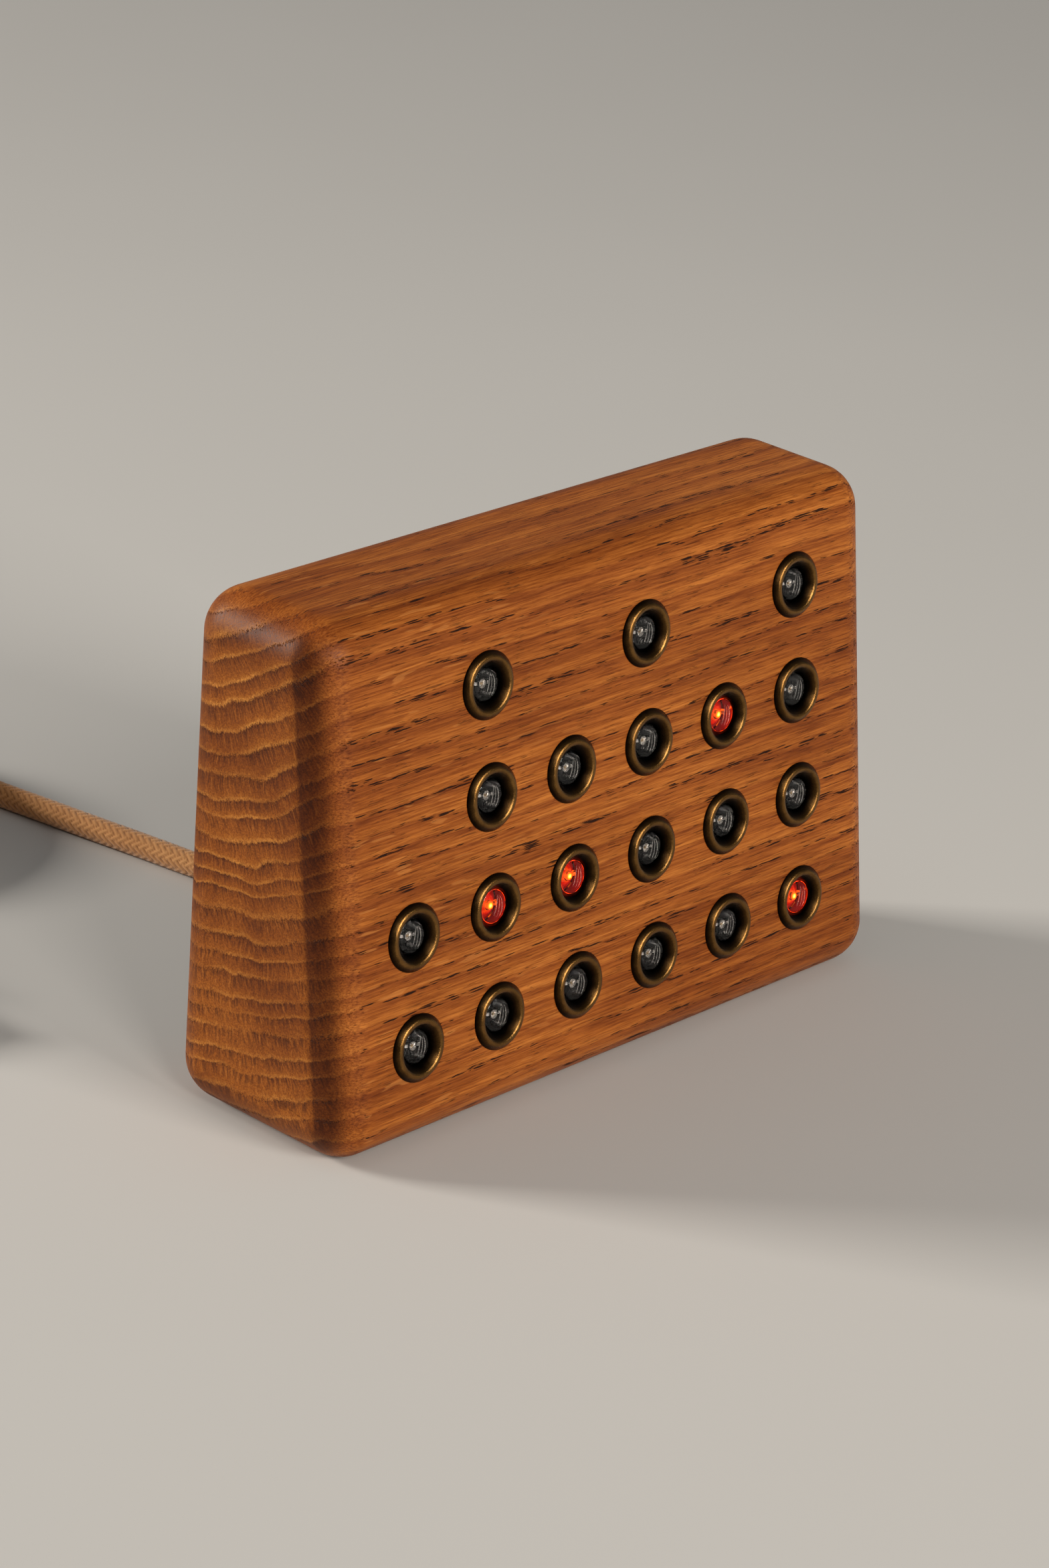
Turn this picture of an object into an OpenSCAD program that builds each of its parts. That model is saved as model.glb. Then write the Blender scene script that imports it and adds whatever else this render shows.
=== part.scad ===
// Binary clock: an oak block with twenty clear diodes in brass eyelets, and a braided lead.
// X runs to the right along the front, Y from the front to the back, and Z up.
// The origin is on the surface that the clock stands on, under the middle of its block.
// All lengths are in millimetres.

/* [Block] */
// Width of the oak block
body_w = 113.5; // [112:0.5:130]
// Depth of the block at its foot
body_d = 34.7; // [34:0.1:42]
// Height of the block
body_h = 76.6; // [76:0.1:90]
// Angle by which the front leans back, in degrees
front_lean = 7.7; // [5:0.1:8.5]
// Radius of the rounded edges
edge_r = 6.5; // [4:0.1:6.9]
// Thickness of the wall behind the front face
front_wall = 6.3; // [6:0.1:7]

/* [Grid of diodes] */
// Distance from one diode to the next, both ways
led_pitch = 16; // [14:0.1:16.2]
// Sideways place of the middle of the grid
grid_x = -1.3; // [-1.5:0.1:1.5]
// Height of the middle of the grid over the middle of the block, at the front face
grid_up = 0.7; // [0.3:0.1:1.3]

/* [Diode] */
// Diameter of a diode's lens
led_d = 5; // [4.8:0.1:5.1]
// Diameter of the flange at a diode's foot
led_flange_d = 5.8; // [5.6:0.1:6]
// Thickness of that flange
led_flange_t = 1; // [0.8:0.1:1.2]
// Height of a diode over its flange
led_body_h = 6; // [5.5:0.1:6.3]
// Radius round the edge of a lens
led_edge_r = 0.35; // [0.2:0.05:0.6]
// Distance between the two leads of a diode
lead_pitch = 2.54; // [2:0.01:2.6]
// Diameter of a lead
lead_d = 0.5; // [0.4:0.05:0.6]

/* [Eyelet] */
// Outer diameter of an eyelet
eyelet_d = 9.8; // [9:0.1:11]
// Diameter of the crest of its rolled rim
eyelet_crest_d = 7.86; // [7.4:0.02:8.2]
// Height of the crest above the wood
eyelet_h = 0.87; // [0.8:0.01:1.2]
// Radius of the rounding over the crest
eyelet_crest_r = 0.7; // [0.5:0.05:0.8]
// Depth below the wood at which the funnel has turned into the barrel
eyelet_throat = 0.25; // [0.1:0.05:0.6]
// Thickness of the barrel
eyelet_wall = 0.35; // [0.25:0.05:0.5]
// Length of the barrel below the wood
eyelet_len = 3.8; // [3:0.1:4.5]

/* [Back cover] */
// Thickness of the back cover
cover_t = 3; // [2.5:0.1:4]
// Width of the ledge under the cover at its two ends
ledge_side = 5.2; // [5:0.1:5.6]
// Width of the ledge under the cover at its top and bottom
ledge_top = 3; // [2.5:0.1:3.2]
// Radius of the cover's corners
cover_corner_r = 3; // [2:0.1:4]

/* [Set buttons] */
// Diameter of a button's cap
button_d = 6; // [5:0.1:7]
// Travel of a button
button_travel = 0.5; // [0.3:0.05:0.8]
// Sideways distance of each button from the middle
button_x = 12; // [11:0.5:13]
// Height of the buttons over the middle of the block
button_up = 1.7; // [1.2:0.1:2.2]

/* [Lead] */
// Diameter of the braided lead
cord_d = 4; // [3.5:0.1:4]
// Height at which the lead leaves the back cover, over the cover's lower edge
lead_up = 8.25; // [8:0.05:9.5]
// Length of the tapered nose of the rubber bush
bush_nose = 8; // [5:0.5:12]

/* [Hidden] */
$fn = 48;
tight = 0.05;                 // clearance of a piece that is pressed or clamped in
loose = 0.1;                  // clearance of a piece that slips in
COLUMNS = ["hours_tens", "hours_units", "minutes_tens", "minutes_units", "seconds_tens", "seconds_units"];
BITS = [2, 4, 3, 4, 3, 4];    // diodes in each column, from the bottom: 1, 2, 4 and 8

oak = "#b5763a";
brass = "#6e5a2c";
clear = "#8d9196";
board_green = "#1f5a3a";
black = "#1b1b1d";
steel = "#b9bcc0";
braid = "#b08350";

// Front face: it passes through front_y at height zero and leans back from there.
front_y = -body_d / 2 + edge_r * (1 - tan(front_lean) - 1 / cos(front_lean));
function front_at(z) = front_y + z * tan(front_lean);
grid_z = body_h / 2 + grid_up;

// Pocket round the grid's diodes, and the cover over it
pocket_spare_x = 0.6;         // room past the outer diodes' flanges, at each end
pocket_spare_z = 1.65;
pocket_w = (len(COLUMNS) - 1) * led_pitch + led_flange_d + 2 * (abs(grid_x) + pocket_spare_x);
pocket_h = (max(BITS) - 1) * led_pitch + led_flange_d + 2 * pocket_spare_z;
pocket_corner_r = 2;
cover_w = pocket_w + 2 * ledge_side;
cover_h = pocket_h + 2 * ledge_top;
cover_z = body_h / 2;
cover_in = body_d / 2 - cover_t;
cover_screw_x = pocket_w / 2 + ledge_side / 2;
cover_screw_z = pocket_h / 2 - 5;
cover_screw_r = 1.1;
cover_screw_head_r = 2.1;
cover_screw_head_h = 1;
cover_screw_len = 9;

// Bores for the diodes and eyelets
led_bore_r = led_d / 2 + loose;
eyelet_bore_r = led_d / 2 + loose;
eyelet_r = eyelet_bore_r + eyelet_wall;
eyelet_seat_r = eyelet_r + tight;
eyelet_lip = 0.19;            // height of the rim's outer edge above the wood
eyelet_edge = 0.1;            // bevel under the rim's outer edge
eyelet_slope = 43;            // angle of the funnel and of the rim's outer side
eyelet_flare = 0.12;          // how much wider than the barrel the funnel is at the wood's face

// Main board, which lies against the flanges of the diodes
board_t = 1.6;
board_front = front_wall + led_flange_t;
board_back = board_front + board_t;
board_gap = 0.4;
board_w = pocket_w - 2 * board_gap;
function board_v(z, depth) = (z + depth * sin(front_lean) - grid_z) / cos(front_lean);
board_low = board_v(cover_z - pocket_h / 2 + board_gap, board_back);
board_high = board_v(cover_z + pocket_h / 2 - board_gap, board_front);
lead_hole_r = lead_d / 2 + loose;
lead_out = 1.5;               // length of the leads past the board
board_screw_r = 1;
board_screw_head_r = 1.9;
board_screw_head_h = 1.3;
board_screw_bite = 3.4;       // length of the board screws in the wood
spacer_r = 2.2;

// Chips in two rows of legs, and the socket of the larger one
chip_w = 6.6;
chip_t = 3.3;
chip_end = 0.86;              // by how much a chip is shorter than its legs' pitches
leg_row = 7.62;
leg_pitch = 2.54;
leg_w = 0.5;
leg_t = 0.3;
socket_w = 10.2;
socket_h = 4.2;
mcu_legs = 28;
mcu_leg_len = 4.3;
mcu_u = 5.3;                  // places on the board count from the middle of the grid
mcu_v = led_pitch;
clock_chip_legs = 8;
clock_chip_lift = 0.5;
clock_chip_u = -led_pitch;

// Small parts on the main board
crystal_w = 10.6;
crystal_d = 4.6;
crystal_h = 3.5;
crystal_u = led_pitch + 1;
watch_crystal_r = 1;
watch_crystal_len = 6;
watch_crystal_u = 7 - led_pitch;
capacitor_r = 2.5;
capacitor_h = 7.6;
CAPACITOR_U = [1.5 * led_pitch + 2, 2.5 * led_pitch - 6];
resistor_r = 1.15;
resistor_len = 6.3;
resistor_span = 10;           // distance between a resistor's two legs
resistor_row_u = 12;          // first resistor on each side of the middle
resistor_pitch = 3.6;
resistor_wire_r = 0.3;

// Coin cell that keeps the time without power
cell_r = 6.25;
cell_t = 2;
cell_u = -2 * led_pitch - 2.3;
cell_v = 0.75 * led_pitch;
holder_floor = 1;
holder_wall = 1.2;

// Terminal block for the lead's two wires
terminal_w = 10.2;
terminal_d = 7.6;
terminal_h = 8.5;
terminal_pole = 2.54;         // distance of each pole from the middle
terminal_in = 3.2;            // height of the wire mouths above the board
terminal_mouth_r = 1.4;
terminal_screw_r = 1.6;
terminal_screw_h = 2.4;
terminal_v = 0.5;
terminal_top_z = grid_z + (terminal_v + terminal_d / 2) * cos(front_lean)
    - (board_back + terminal_h) * sin(front_lean);
power_wire_r = 0.7;

// Set buttons, their switches and their board
button_gap = 0.25;
button_z = body_h / 2 + button_up;
button_sink = 0.3;            // depth of a cap's end below the cover
dish_depth = 0.8;             // dish in the cover round each cap
dish_slope = 1.25;
button_flange_r = button_d / 2 + 1;
button_flange_t = 1;
plunger_r = 1.75;
plunger_out = 0.9;            // length of a plunger between its cap's flange and the switch
plunger_in = 1.2;             // length of a plunger inside its switch
switch_w = 6;
switch_h = 3.4;
switch_top = cover_in - button_flange_t - plunger_out;
button_board_back = switch_top - switch_h;
button_board_w = 2 * (button_x + 10);
button_board_h = 10;
button_board_notch = 1;       // room round the terminal block in the lower edge of the board
post_x = button_board_w / 2 - 3;
post_r = 2.3;
post_screw_r = 0.9;
post_screw_len = 3.2;         // length in the post
post_screw_head_r = 1.8;
post_screw_head_h = 1.1;
button_wire_r = 0.6;
button_wire_up = 3.6;         // height over the middle of the buttons

// Lead: a rubber bush holds it in the cover, and a tie locks it inside
cord_r = cord_d / 2;
cord_z = cover_z - cover_h / 2 + lead_up;
bush_r = cord_r + 2;
bush_flange_r = bush_r + 1;
bush_flange_t = 1.5;
bush_tip = body_d / 2 + bush_flange_t + bush_nose;
cord_bend_r = 8;
cord_up_y = front_at(cord_z + cord_bend_r) + board_back / cos(front_lean) + cord_r + 2.5;
cord_up_z = cord_z + cord_bend_r + 2;

// Coil of the spare lead: two layers, which spiral in and out again
coil_centre = [-42, 123.5];
coil_r = 30;
coil_start = 8;
coil_end = 180;
coil_turns = 5 + (coil_end - coil_start) / 360;
coil_step = cord_d + 0.6;
coil_rings = 24;
tie_t = 0.7;
coil_low = cord_r + tie_t + loose;
coil_heading = unit(coil_point(1) - coil_point(0));
coil_join = coil_point(0) - cord_d * coil_heading;
tie_angle = 95;
tie_w = 6;
plug_at = [-73.5, 101, 4];
plug_w = 16;
plug_h = 8;
plug_len = 24;
plug_nose = 6;
shell_w = 12;
shell_h = 4.5;
shell_len = 18.75;
shell_t = 0.3;
tongue_t = 1.84;

// Stretch of the lead from the cover's face, through the bush, to the coil
cord_route = concat(
    [[0, body_d / 2, cord_z], [0, bush_tip, cord_z]],
    [
        [0, 31, 15], [-0.4, 38, 13.7], [-1.1, 46, 9.8], [-1.9, 54, 5.4], [-2.9, 62, 2.7],
        [-4, 70, 2], [-5.3, 79, 2], [-6.7, 88, 2], [-8.2, 98, 2], [-9.7, 108, 2]
    ],
    [coil_join - cord_d * coil_heading, coil_join]
);
// Last stretch of the lead, from the coil down to the plug
tail_route = [[-72.4, 116, 7.2], [-73, 110, 5.6], [-73.5, 105.5, 4], plug_at];

// ---------- helpers ----------

function unit(v) = v / norm(v);
function heading(path, i) = unit(path[min(i + 1, len(path) - 1)] - path[max(i - 1, 0)]);

// Coil's middle line at an angle from its start, in degrees
function coil_point(a) = let(
    half = 180 * coil_turns,
    r = coil_r - coil_step * (half - abs(a - half)) / 360,
    climb = min(90, max(-90, a - half)),
    z = coil_low + coil_step * (1 + sin(climb)) / 2
) [coil_centre[0] + r * cos(coil_start + a), coil_centre[1] + r * sin(coil_start + a), z];

// Unbroken tube through a list of points
module tube(path, r, sides, ref = [0, 0, 1]) {
    rings = len(path);
    last = (rings - 1) * sides;
    points = [
        for (i = [0:rings - 1]) let(
            t = heading(path, i),
            s = unit(cross(ref, t)),
            u = cross(t, s)
        ) for (k = [0:sides - 1]) path[i] + r * (cos(360 * k / sides) * s + sin(360 * k / sides) * u)
    ];
    walls = [
        for (i = [0:rings - 2]) for (k = [0:sides - 1]) let(
            a = i * sides + k,
            b = i * sides + (k + 1) % sides
        ) each [[a, a + sides, b], [b, a + sides, b + sides]]
    ];
    caps = [for (k = [1:sides - 2]) each [[0, k, k + 1], [last, last + k + 1, last + k]]];
    polyhedron(points, concat(walls, caps));
}

// Puts its children on the front face, with their Z out of the face; u and v count from the grid's middle
module on_front(u = 0, v = 0, depth = 0) {
    translate([grid_x, front_at(grid_z), grid_z])
        rotate([90 - front_lean, 0, 0])
            translate([u, v, -depth])
                children();
}

// Puts its children on the back of the main board, with their Z towards the cover
module on_board(u = 0, v = 0) {
    on_front(u, v, board_back)
        mirror([0, 0, 1])
            children();
}

// Puts its children on the back face of the block, with their Z out of it
module on_back(x = 0, z = cover_z, depth = 0) {
    translate([x, body_d / 2 - depth, z])
        rotate([90, 0, 180])
            children();
}

// Repeats its children at every diode of one column
module in_column(i) {
    for (b = [0:BITS[i] - 1])
        at_led(i, b) children();
}

module at_led(i, b) {
    on_front((i - 2.5) * led_pitch, (b - 1.5) * led_pitch) children();
}

// The four corners of a rectangle about the middle
module at_corners(x, y) {
    for (sx = [-1, 1], sy = [-1, 1])
        translate([sx * x, sy * y, 0]) children();
}

module rounded_plate(w, h, r, t) {
    linear_extrude(t)
        hull()
            at_corners(w / 2 - r, h / 2 - r) circle(r, $fn = 32);
}

// Screw with its head's top at zero and its shank pointing down
module countersunk_screw(r, head_r, head_h, len) {
    slot = head_r / 4;
    difference() {
        union() {
            translate([0, 0, -head_h]) cylinder(head_h, r, head_r);
            translate([0, 0, -len]) cylinder(len, r = r);
        }
        for (a = [0, 90])
            rotate(a) translate([-head_r * 0.6, -slot / 2, -head_h * 0.6]) cube([head_r * 1.2, slot, head_h]);
    }
}

// Screw with its head standing on zero and its shank pointing down
module pan_screw(r, head_r, head_h, len) {
    slot = head_r / 4;
    difference() {
        union() {
            cylinder(head_h, head_r, head_r * 0.85);
            translate([0, 0, -len]) cylinder(len + tight, r = r);
        }
        for (a = [0, 90])
            rotate(a) translate([-head_r * 0.6, -slot / 2, head_h / 2]) cube([head_r * 1.2, slot, head_h]);
    }
}

// ---------- case ----------

// Ball with a point at each end of every axis
module corner_ball(y, z) {
    for (side = [-1, 1])
        translate([side * (body_w / 2 - edge_r), y, z])
            rotate_extrude($fn = 32)
                polygon([for (a = [-90:11.25:90]) edge_r * [cos(a), sin(a)]]);
}

module block_outline() {
    rise = body_h - 2 * edge_r;
    foot = edge_r - body_d / 2;
    brow = foot + rise * tan(front_lean);
    hull() {
        corner_ball(foot, edge_r);
        corner_ball(brow, edge_r + rise);
        corner_ball(body_d / 2 - edge_r, edge_r);
        corner_ball(body_d / 2 - edge_r, edge_r + rise);
    }
}

// Pocket from the back, with a floor that leans as the front does
module pocket() {
    z0 = cover_z - pocket_h / 2 - 1;
    z1 = cover_z + pocket_h / 2 + 1;
    floor = front_wall / cos(front_lean);
    intersection() {
        on_back(depth = body_d) rounded_plate(pocket_w, pocket_h, pocket_corner_r, body_d + 1);
        translate([-pocket_w / 2 - 1, 0, 0])
            rotate([90, 0, 90])
                linear_extrude(pocket_w + 2)
                    polygon([
                        [front_at(z0) + floor, z0],
                        [body_d / 2 + 1, z0],
                        [body_d / 2 + 1, z1],
                        [front_at(z1) + floor, z1]
                    ]);
    }
}

module led_bores() {
    for (i = [0:5])
        in_column(i) {
            translate([0, 0, -eyelet_len - 0.2]) cylinder(eyelet_len + 1, r = eyelet_seat_r);
            translate([0, 0, -front_wall - 1]) cylinder(front_wall + 1, r = led_bore_r);
        }
}

module body_block() {
    color(oak)
        difference() {
            block_outline();
            pocket();
            on_back(depth = cover_t)
                rounded_plate(cover_w + 2 * loose, cover_h + 2 * loose, cover_corner_r, cover_t + 1);
            led_bores();
            on_back(depth = cover_screw_len + 0.5)
                at_corners(cover_screw_x, cover_screw_z) cylinder(cover_screw_len, r = cover_screw_r + tight);
            at_board_screws()
                translate([0, 0, -front_wall - 0.2])
                    cylinder(board_screw_bite + 0.5, r = board_screw_r + tight);
        }
}

module back_cover() {
    color(black) {
        difference() {
            union() {
                on_back(depth = cover_t) rounded_plate(cover_w, cover_h, cover_corner_r, cover_t);
                for (side = [-1, 1])
                    translate([side * post_x, button_board_back, button_z])
                        rotate([-90, 0, 0]) cylinder(cover_in - button_board_back + 0.5, r = post_r);
            }
            on_back(depth = cover_t)
                at_corners(cover_screw_x, cover_screw_z) {
                    translate([0, 0, -1]) cylinder(cover_t + 2, r = cover_screw_r + 2 * tight);
                    translate([0, 0, cover_t - cover_screw_head_h])
                        cylinder(cover_screw_head_h, cover_screw_r + tight, cover_screw_head_r + tight);
                }
            for (side = [-1, 1]) {
                on_back(side * button_x, button_z, cover_t + 1)
                    cylinder(cover_t + 2, r = button_d / 2 + button_gap);
                on_back(side * button_x, button_z, dish_depth)
                    cylinder(1, button_d / 2 + 1, button_d / 2 + 1 + dish_slope);
                translate([side * post_x, button_board_back - 1, button_z])
                    rotate([-90, 0, 0]) cylinder(post_screw_len + 1, r = post_screw_r + tight);
            }
            on_back(0, cord_z, cover_t + 1) cylinder(cover_t + 2, r = bush_r + tight);
        }
    }
}

module cover_screws() {
    color(steel)
        on_back()
            at_corners(cover_screw_x, cover_screw_z)
                countersunk_screw(cover_screw_r, cover_screw_head_r, cover_screw_head_h, cover_screw_len);
}

// ---------- eyelets and diodes ----------

// Half section of an eyelet: rim with a rounded crest, straight funnel, throat and barrel
module eyelet() {
    rim = eyelet_d / 2;
    centre = [eyelet_crest_d / 2, eyelet_h - eyelet_crest_r];
    rotate_extrude()
        polygon(concat(
            [[eyelet_r, 0], [rim - eyelet_edge, 0], [rim, eyelet_edge], [rim, eyelet_lip]],
            [for (k = [-4:4]) centre + eyelet_crest_r * [-sin(k * eyelet_slope / 4), cos(k * eyelet_slope / 4)]],
            [[eyelet_bore_r + eyelet_flare, 0], [eyelet_bore_r, -eyelet_throat]],
            [[eyelet_bore_r, -eyelet_len], [eyelet_r, -eyelet_len]]
        ));
}

module eyelets(i) {
    color(brass) in_column(i) eyelet();
}

// Clear diode with a flat top; its flange lies against the back of the front wall
module led(i, b) {
    r = led_d / 2;
    flange = led_flange_d / 2;
    top = led_body_h - front_wall;
    color(clear)
        at_led(i, b)
            rotate_extrude()
                polygon(concat(
                    [[0, -board_front], [flange, -board_front], [flange, -front_wall], [r, -front_wall]],
                    [for (a = [0:22.5:90]) [r, top] - led_edge_r * [1 - cos(a), 1 - sin(a)]],
                    [[0, top]]
                ));
}

module led_leads() {
    color(steel)
        for (i = [0:5])
            in_column(i)
                for (side = [-1, 1])
                    translate([side * lead_pitch / 2, 0, -board_back - lead_out])
                        cylinder(board_t + lead_out, r = lead_d / 2, $fn = 24);
}

// ---------- main board ----------

module at_board_screws() {
    for (u = [-2, 2], v = [-1.5, 1.5])
        on_front(u * led_pitch, v * led_pitch) children();
}

module led_board() {
    color(board_green)
        difference() {
            on_front(-grid_x, (board_low + board_high) / 2, board_back)
                rounded_plate(board_w, board_high - board_low, pocket_corner_r, board_t);
            for (i = [0:5])
                in_column(i)
                    for (side = [-1, 1])
                        translate([side * lead_pitch / 2, 0, -board_back - 1])
                            cylinder(board_t + 2, r = lead_hole_r, $fn = 24);
            at_board_screws()
                translate([0, 0, -board_back - 1]) cylinder(board_t + 2, r = board_screw_r + loose);
        }
}

module board_spacers() {
    color("white")
        at_board_screws()
            translate([0, 0, -board_front])
                difference() {
                    cylinder(led_flange_t, r = spacer_r);
                    translate([0, 0, -1]) cylinder(led_flange_t + 2, r = board_screw_r + loose);
                }
}

module board_screws() {
    color(steel)
        at_board_screws()
            translate([0, 0, -board_back])
                mirror([0, 0, 1])
                    pan_screw(board_screw_r, board_screw_head_r, board_screw_head_h,
                        board_t + led_flange_t + board_screw_bite);
}

// Chip with two rows of legs, which stands on zero; the body starts at the height lift
module chip(legs, lift, leg_len) {
    body_len = legs / 2 * leg_pitch - chip_end;
    translate([-body_len / 2, -chip_w / 2, lift]) cube([body_len, chip_w, chip_t]);
    for (k = [0:legs / 2 - 1], side = [-1, 1])
        translate([(k - (legs / 2 - 1) / 2) * leg_pitch, side * leg_row / 2, 0]) {
            translate([-leg_w / 2, -leg_t / 2, lift + chip_t / 2 - leg_len]) cube([leg_w, leg_t, leg_len]);
            translate([-leg_w / 2, side > 0 ? -1 : -leg_t / 2, lift + chip_t / 2 - leg_t])
                cube([leg_w, 1 + leg_t / 2, leg_t]);
        }
}

module ic_socket() {
    len = mcu_legs / 2 * leg_pitch;
    leg_hole = [leg_w + 2 * loose, leg_t + 2 * loose, 2 * (mcu_leg_len + 0.2 - chip_t / 2)];
    color(black)
        on_board(mcu_u, mcu_v)
            difference() {
                translate([-len / 2, -socket_w / 2, 0]) cube([len, socket_w, socket_h]);
                translate([-len / 2 + 2, -2.5, -1]) cube([len - 4, 5, socket_h + 2]);
                for (k = [0:mcu_legs / 2 - 1], side = [-1, 1])
                    translate([(k - (mcu_legs / 2 - 1) / 2) * leg_pitch, side * leg_row / 2, socket_h])
                        cube(leg_hole, center = true);
            }
}

module microcontroller() {
    color("#26262a") on_board(mcu_u, mcu_v) chip(mcu_legs, socket_h, mcu_leg_len);
}

module clock_chip() {
    color("#26262a")
        on_board(clock_chip_u, 0)
            chip(clock_chip_legs, clock_chip_lift, clock_chip_lift + chip_t / 2);
}

// Crystal of the microcontroller, standing, and that of the clock chip, lying
module crystals() {
    color(steel) {
        on_board(crystal_u, 0)
            linear_extrude(crystal_h)
                hull()
                    for (side = [-1, 1])
                        translate([side * (crystal_w - crystal_d) / 2, 0]) circle(crystal_d / 2);
        on_board(watch_crystal_u, -watch_crystal_len / 4)
            translate([0, 0, watch_crystal_r])
                rotate([-90, 0, 0]) cylinder(watch_crystal_len, r = watch_crystal_r);
    }
}

module capacitors() {
    color("#27364f")
        for (u = CAPACITOR_U)
            on_board(u, 0) {
                cylinder(capacitor_h, r = capacitor_r);
                cylinder(capacitor_h / 10, r = capacitor_r + 0.2);
            }
}

module resistor() {
    wire = resistor_wire_r;
    lift = resistor_r + loose;
    translate([0, -resistor_len / 2, lift])
        rotate([-90, 0, 0]) cylinder(resistor_len, r = resistor_r, $fn = 24);
    translate([0, -resistor_span / 2, lift]) rotate([-90, 0, 0]) cylinder(resistor_span, r = wire, $fn = 16);
    for (side = [-1, 1])
        translate([0, side * (resistor_span / 2 - wire), 0]) cylinder(lift, r = wire, $fn = 16);
}

module resistors() {
    color("#b99b6b")
        for (k = [0:6], side = [-1, 1])
            on_board(side * (resistor_row_u + resistor_pitch * k), -led_pitch) resistor();
}

module coin_cell_holder() {
    w = 2 * (cell_r + holder_wall);
    color(black)
        on_board(cell_u, cell_v)
            difference() {
                translate([-w / 2, -w / 2, 0]) cube([w, w, holder_floor + cell_t + 1]);
                translate([0, 0, holder_floor]) cylinder(cell_t + 4, r = cell_r + loose);
            }
}

module coin_cell() {
    color(steel) on_board(cell_u, cell_v) translate([0, 0, holder_floor]) cylinder(cell_t, r = cell_r);
}

// ---------- set buttons ----------

module button_board() {
    color(board_green)
        difference() {
            translate([-button_board_w / 2, button_board_back - board_t, button_z - button_board_h / 2])
                cube([button_board_w, board_t, button_board_h]);
            for (side = [-1, 1])
                translate([side * post_x, button_board_back - board_t - 1, button_z])
                    rotate([-90, 0, 0]) cylinder(board_t + 2, r = post_screw_r + loose);
            translate([-terminal_w / 2 - button_board_notch, button_board_back - board_t - 1, 0])
                cube([terminal_w + 2 * button_board_notch, board_t + 2, terminal_top_z + button_board_notch]);
        }
}

module button_board_screws() {
    color(steel)
        for (side = [-1, 1])
            translate([side * post_x, button_board_back - board_t, button_z])
                rotate([90, 0, 0])
                    pan_screw(post_screw_r, post_screw_head_r, post_screw_head_h,
                        board_t + post_screw_len - 0.3);
}

module button_switches() {
    color("#333338")
        for (side = [-1, 1])
            translate([side * button_x, button_board_back, button_z])
                rotate([-90, 0, 0])
                    difference() {
                        translate([-switch_w / 2, -switch_w / 2, 0]) cube([switch_w, switch_w, switch_h]);
                        translate([0, 0, switch_h - plunger_in - button_travel])
                            cylinder(switch_h, r = plunger_r + loose);
                    }
}

// Cap with a flange inside the cover and a plunger that reaches into its switch
module set_button(side) {
    cap = cover_t - button_sink;
    translate([side * button_x, cover_in, button_z])
        rotate([-90, 0, 0]) {
            cylinder(cap - 0.4, r = button_d / 2);
            translate([0, 0, cap - 0.4]) cylinder(0.4, button_d / 2, button_d / 2 - 0.4);
            translate([0, 0, -button_flange_t]) cylinder(button_flange_t, r = button_flange_r);
            translate([0, 0, -button_flange_t - plunger_out - plunger_in])
                cylinder(plunger_out + plunger_in + 0.1, r = plunger_r);
        }
}

module hour_button() {
    color("#d8d4cb") set_button(1);
}

module minute_button() {
    color("#d8d4cb") set_button(-1);
}

// Three straight wires between the two boards
module button_wires() {
    z = button_z + button_wire_up;
    back = front_at(z) + board_back / cos(front_lean);
    len = button_board_back - board_t - back;
    color("#9b2d20")
        for (k = [-1:1])
            translate([k * leg_pitch, back + 0.15, z])
                rotate([-90, 0, 0]) cylinder(len - 0.2, r = button_wire_r, $fn = 16);
}

// ---------- power ----------

module power_terminal() {
    color("#2f7d4a")
        on_board(-grid_x, terminal_v)
            difference() {
                translate([-terminal_w / 2, -terminal_d / 2, 0]) cube([terminal_w, terminal_d, terminal_h]);
                for (side = [-1, 1])
                    translate([side * terminal_pole, 0, 0]) {
                        translate([0, -terminal_d / 2 - 1, terminal_in])
                            rotate([-90, 0, 0]) cylinder(terminal_d - 1.5, r = terminal_mouth_r);
                        translate([0, 0, terminal_in + 1.6])
                            cylinder(terminal_h, r = terminal_screw_r + loose);
                    }
            }
}

module terminal_screws() {
    color(steel)
        on_board(-grid_x, terminal_v)
            for (side = [-1, 1])
                translate([side * terminal_pole, 0, terminal_in + 1.7])
                    difference() {
                        cylinder(terminal_screw_h, r = terminal_screw_r);
                        translate([-2, -0.3, terminal_screw_h - 0.8]) cube([4, 0.6, 2]);
                    }
}

// Two wires from the end of the lead into the terminal's mouths
module power_wires() {
    depth = board_back + terminal_in;
    z = grid_z + (terminal_v - terminal_d / 2) * cos(front_lean) - depth * sin(front_lean);
    y = front_at(z) + depth / cos(front_lean);
    color("#9b2d20")
        for (side = [-1, 1])
            tube([
                [side * 0.9, cord_up_y, cord_up_z],
                [side * 0.9, cord_up_y, cord_up_z + 1.2],
                [side * 2.2, y, z - 1.5],
                [side * terminal_pole, y + 0.1, z],
                [side * terminal_pole, y + 0.5, z + 3]
            ], power_wire_r, 8, [1, 0, 0]);
}

// The lead inside the case: in through the bush, then up towards the terminal
module cord_inner() {
    bend = [
        for (a = [0:15:90])
            [0, cord_up_y + cord_bend_r * (1 - sin(a)), cord_z + cord_bend_r * (1 - cos(a))]
    ];
    color(braid)
        tube(concat([[0, body_d / 2, cord_z]], bend, [[0, cord_up_y, cord_up_z]]), cord_r, 12, [1, 0, 0]);
}

// Tie drawn tight round the lead behind the bush, so that a pull can't draw it out
module cord_lock() {
    color(black)
        translate([0, cover_in - bush_flange_t - 0.2, cord_z])
            rotate([90, 0, 0])
                difference() {
                    union() {
                        cylinder(2.5, r = cord_r + 1);
                        translate([cord_r - 0.5, -2, 0]) cube([4, 4, 2.5]);
                    }
                    translate([0, 0, -1]) cylinder(5, r = cord_r + tight);
                }
}

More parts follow.
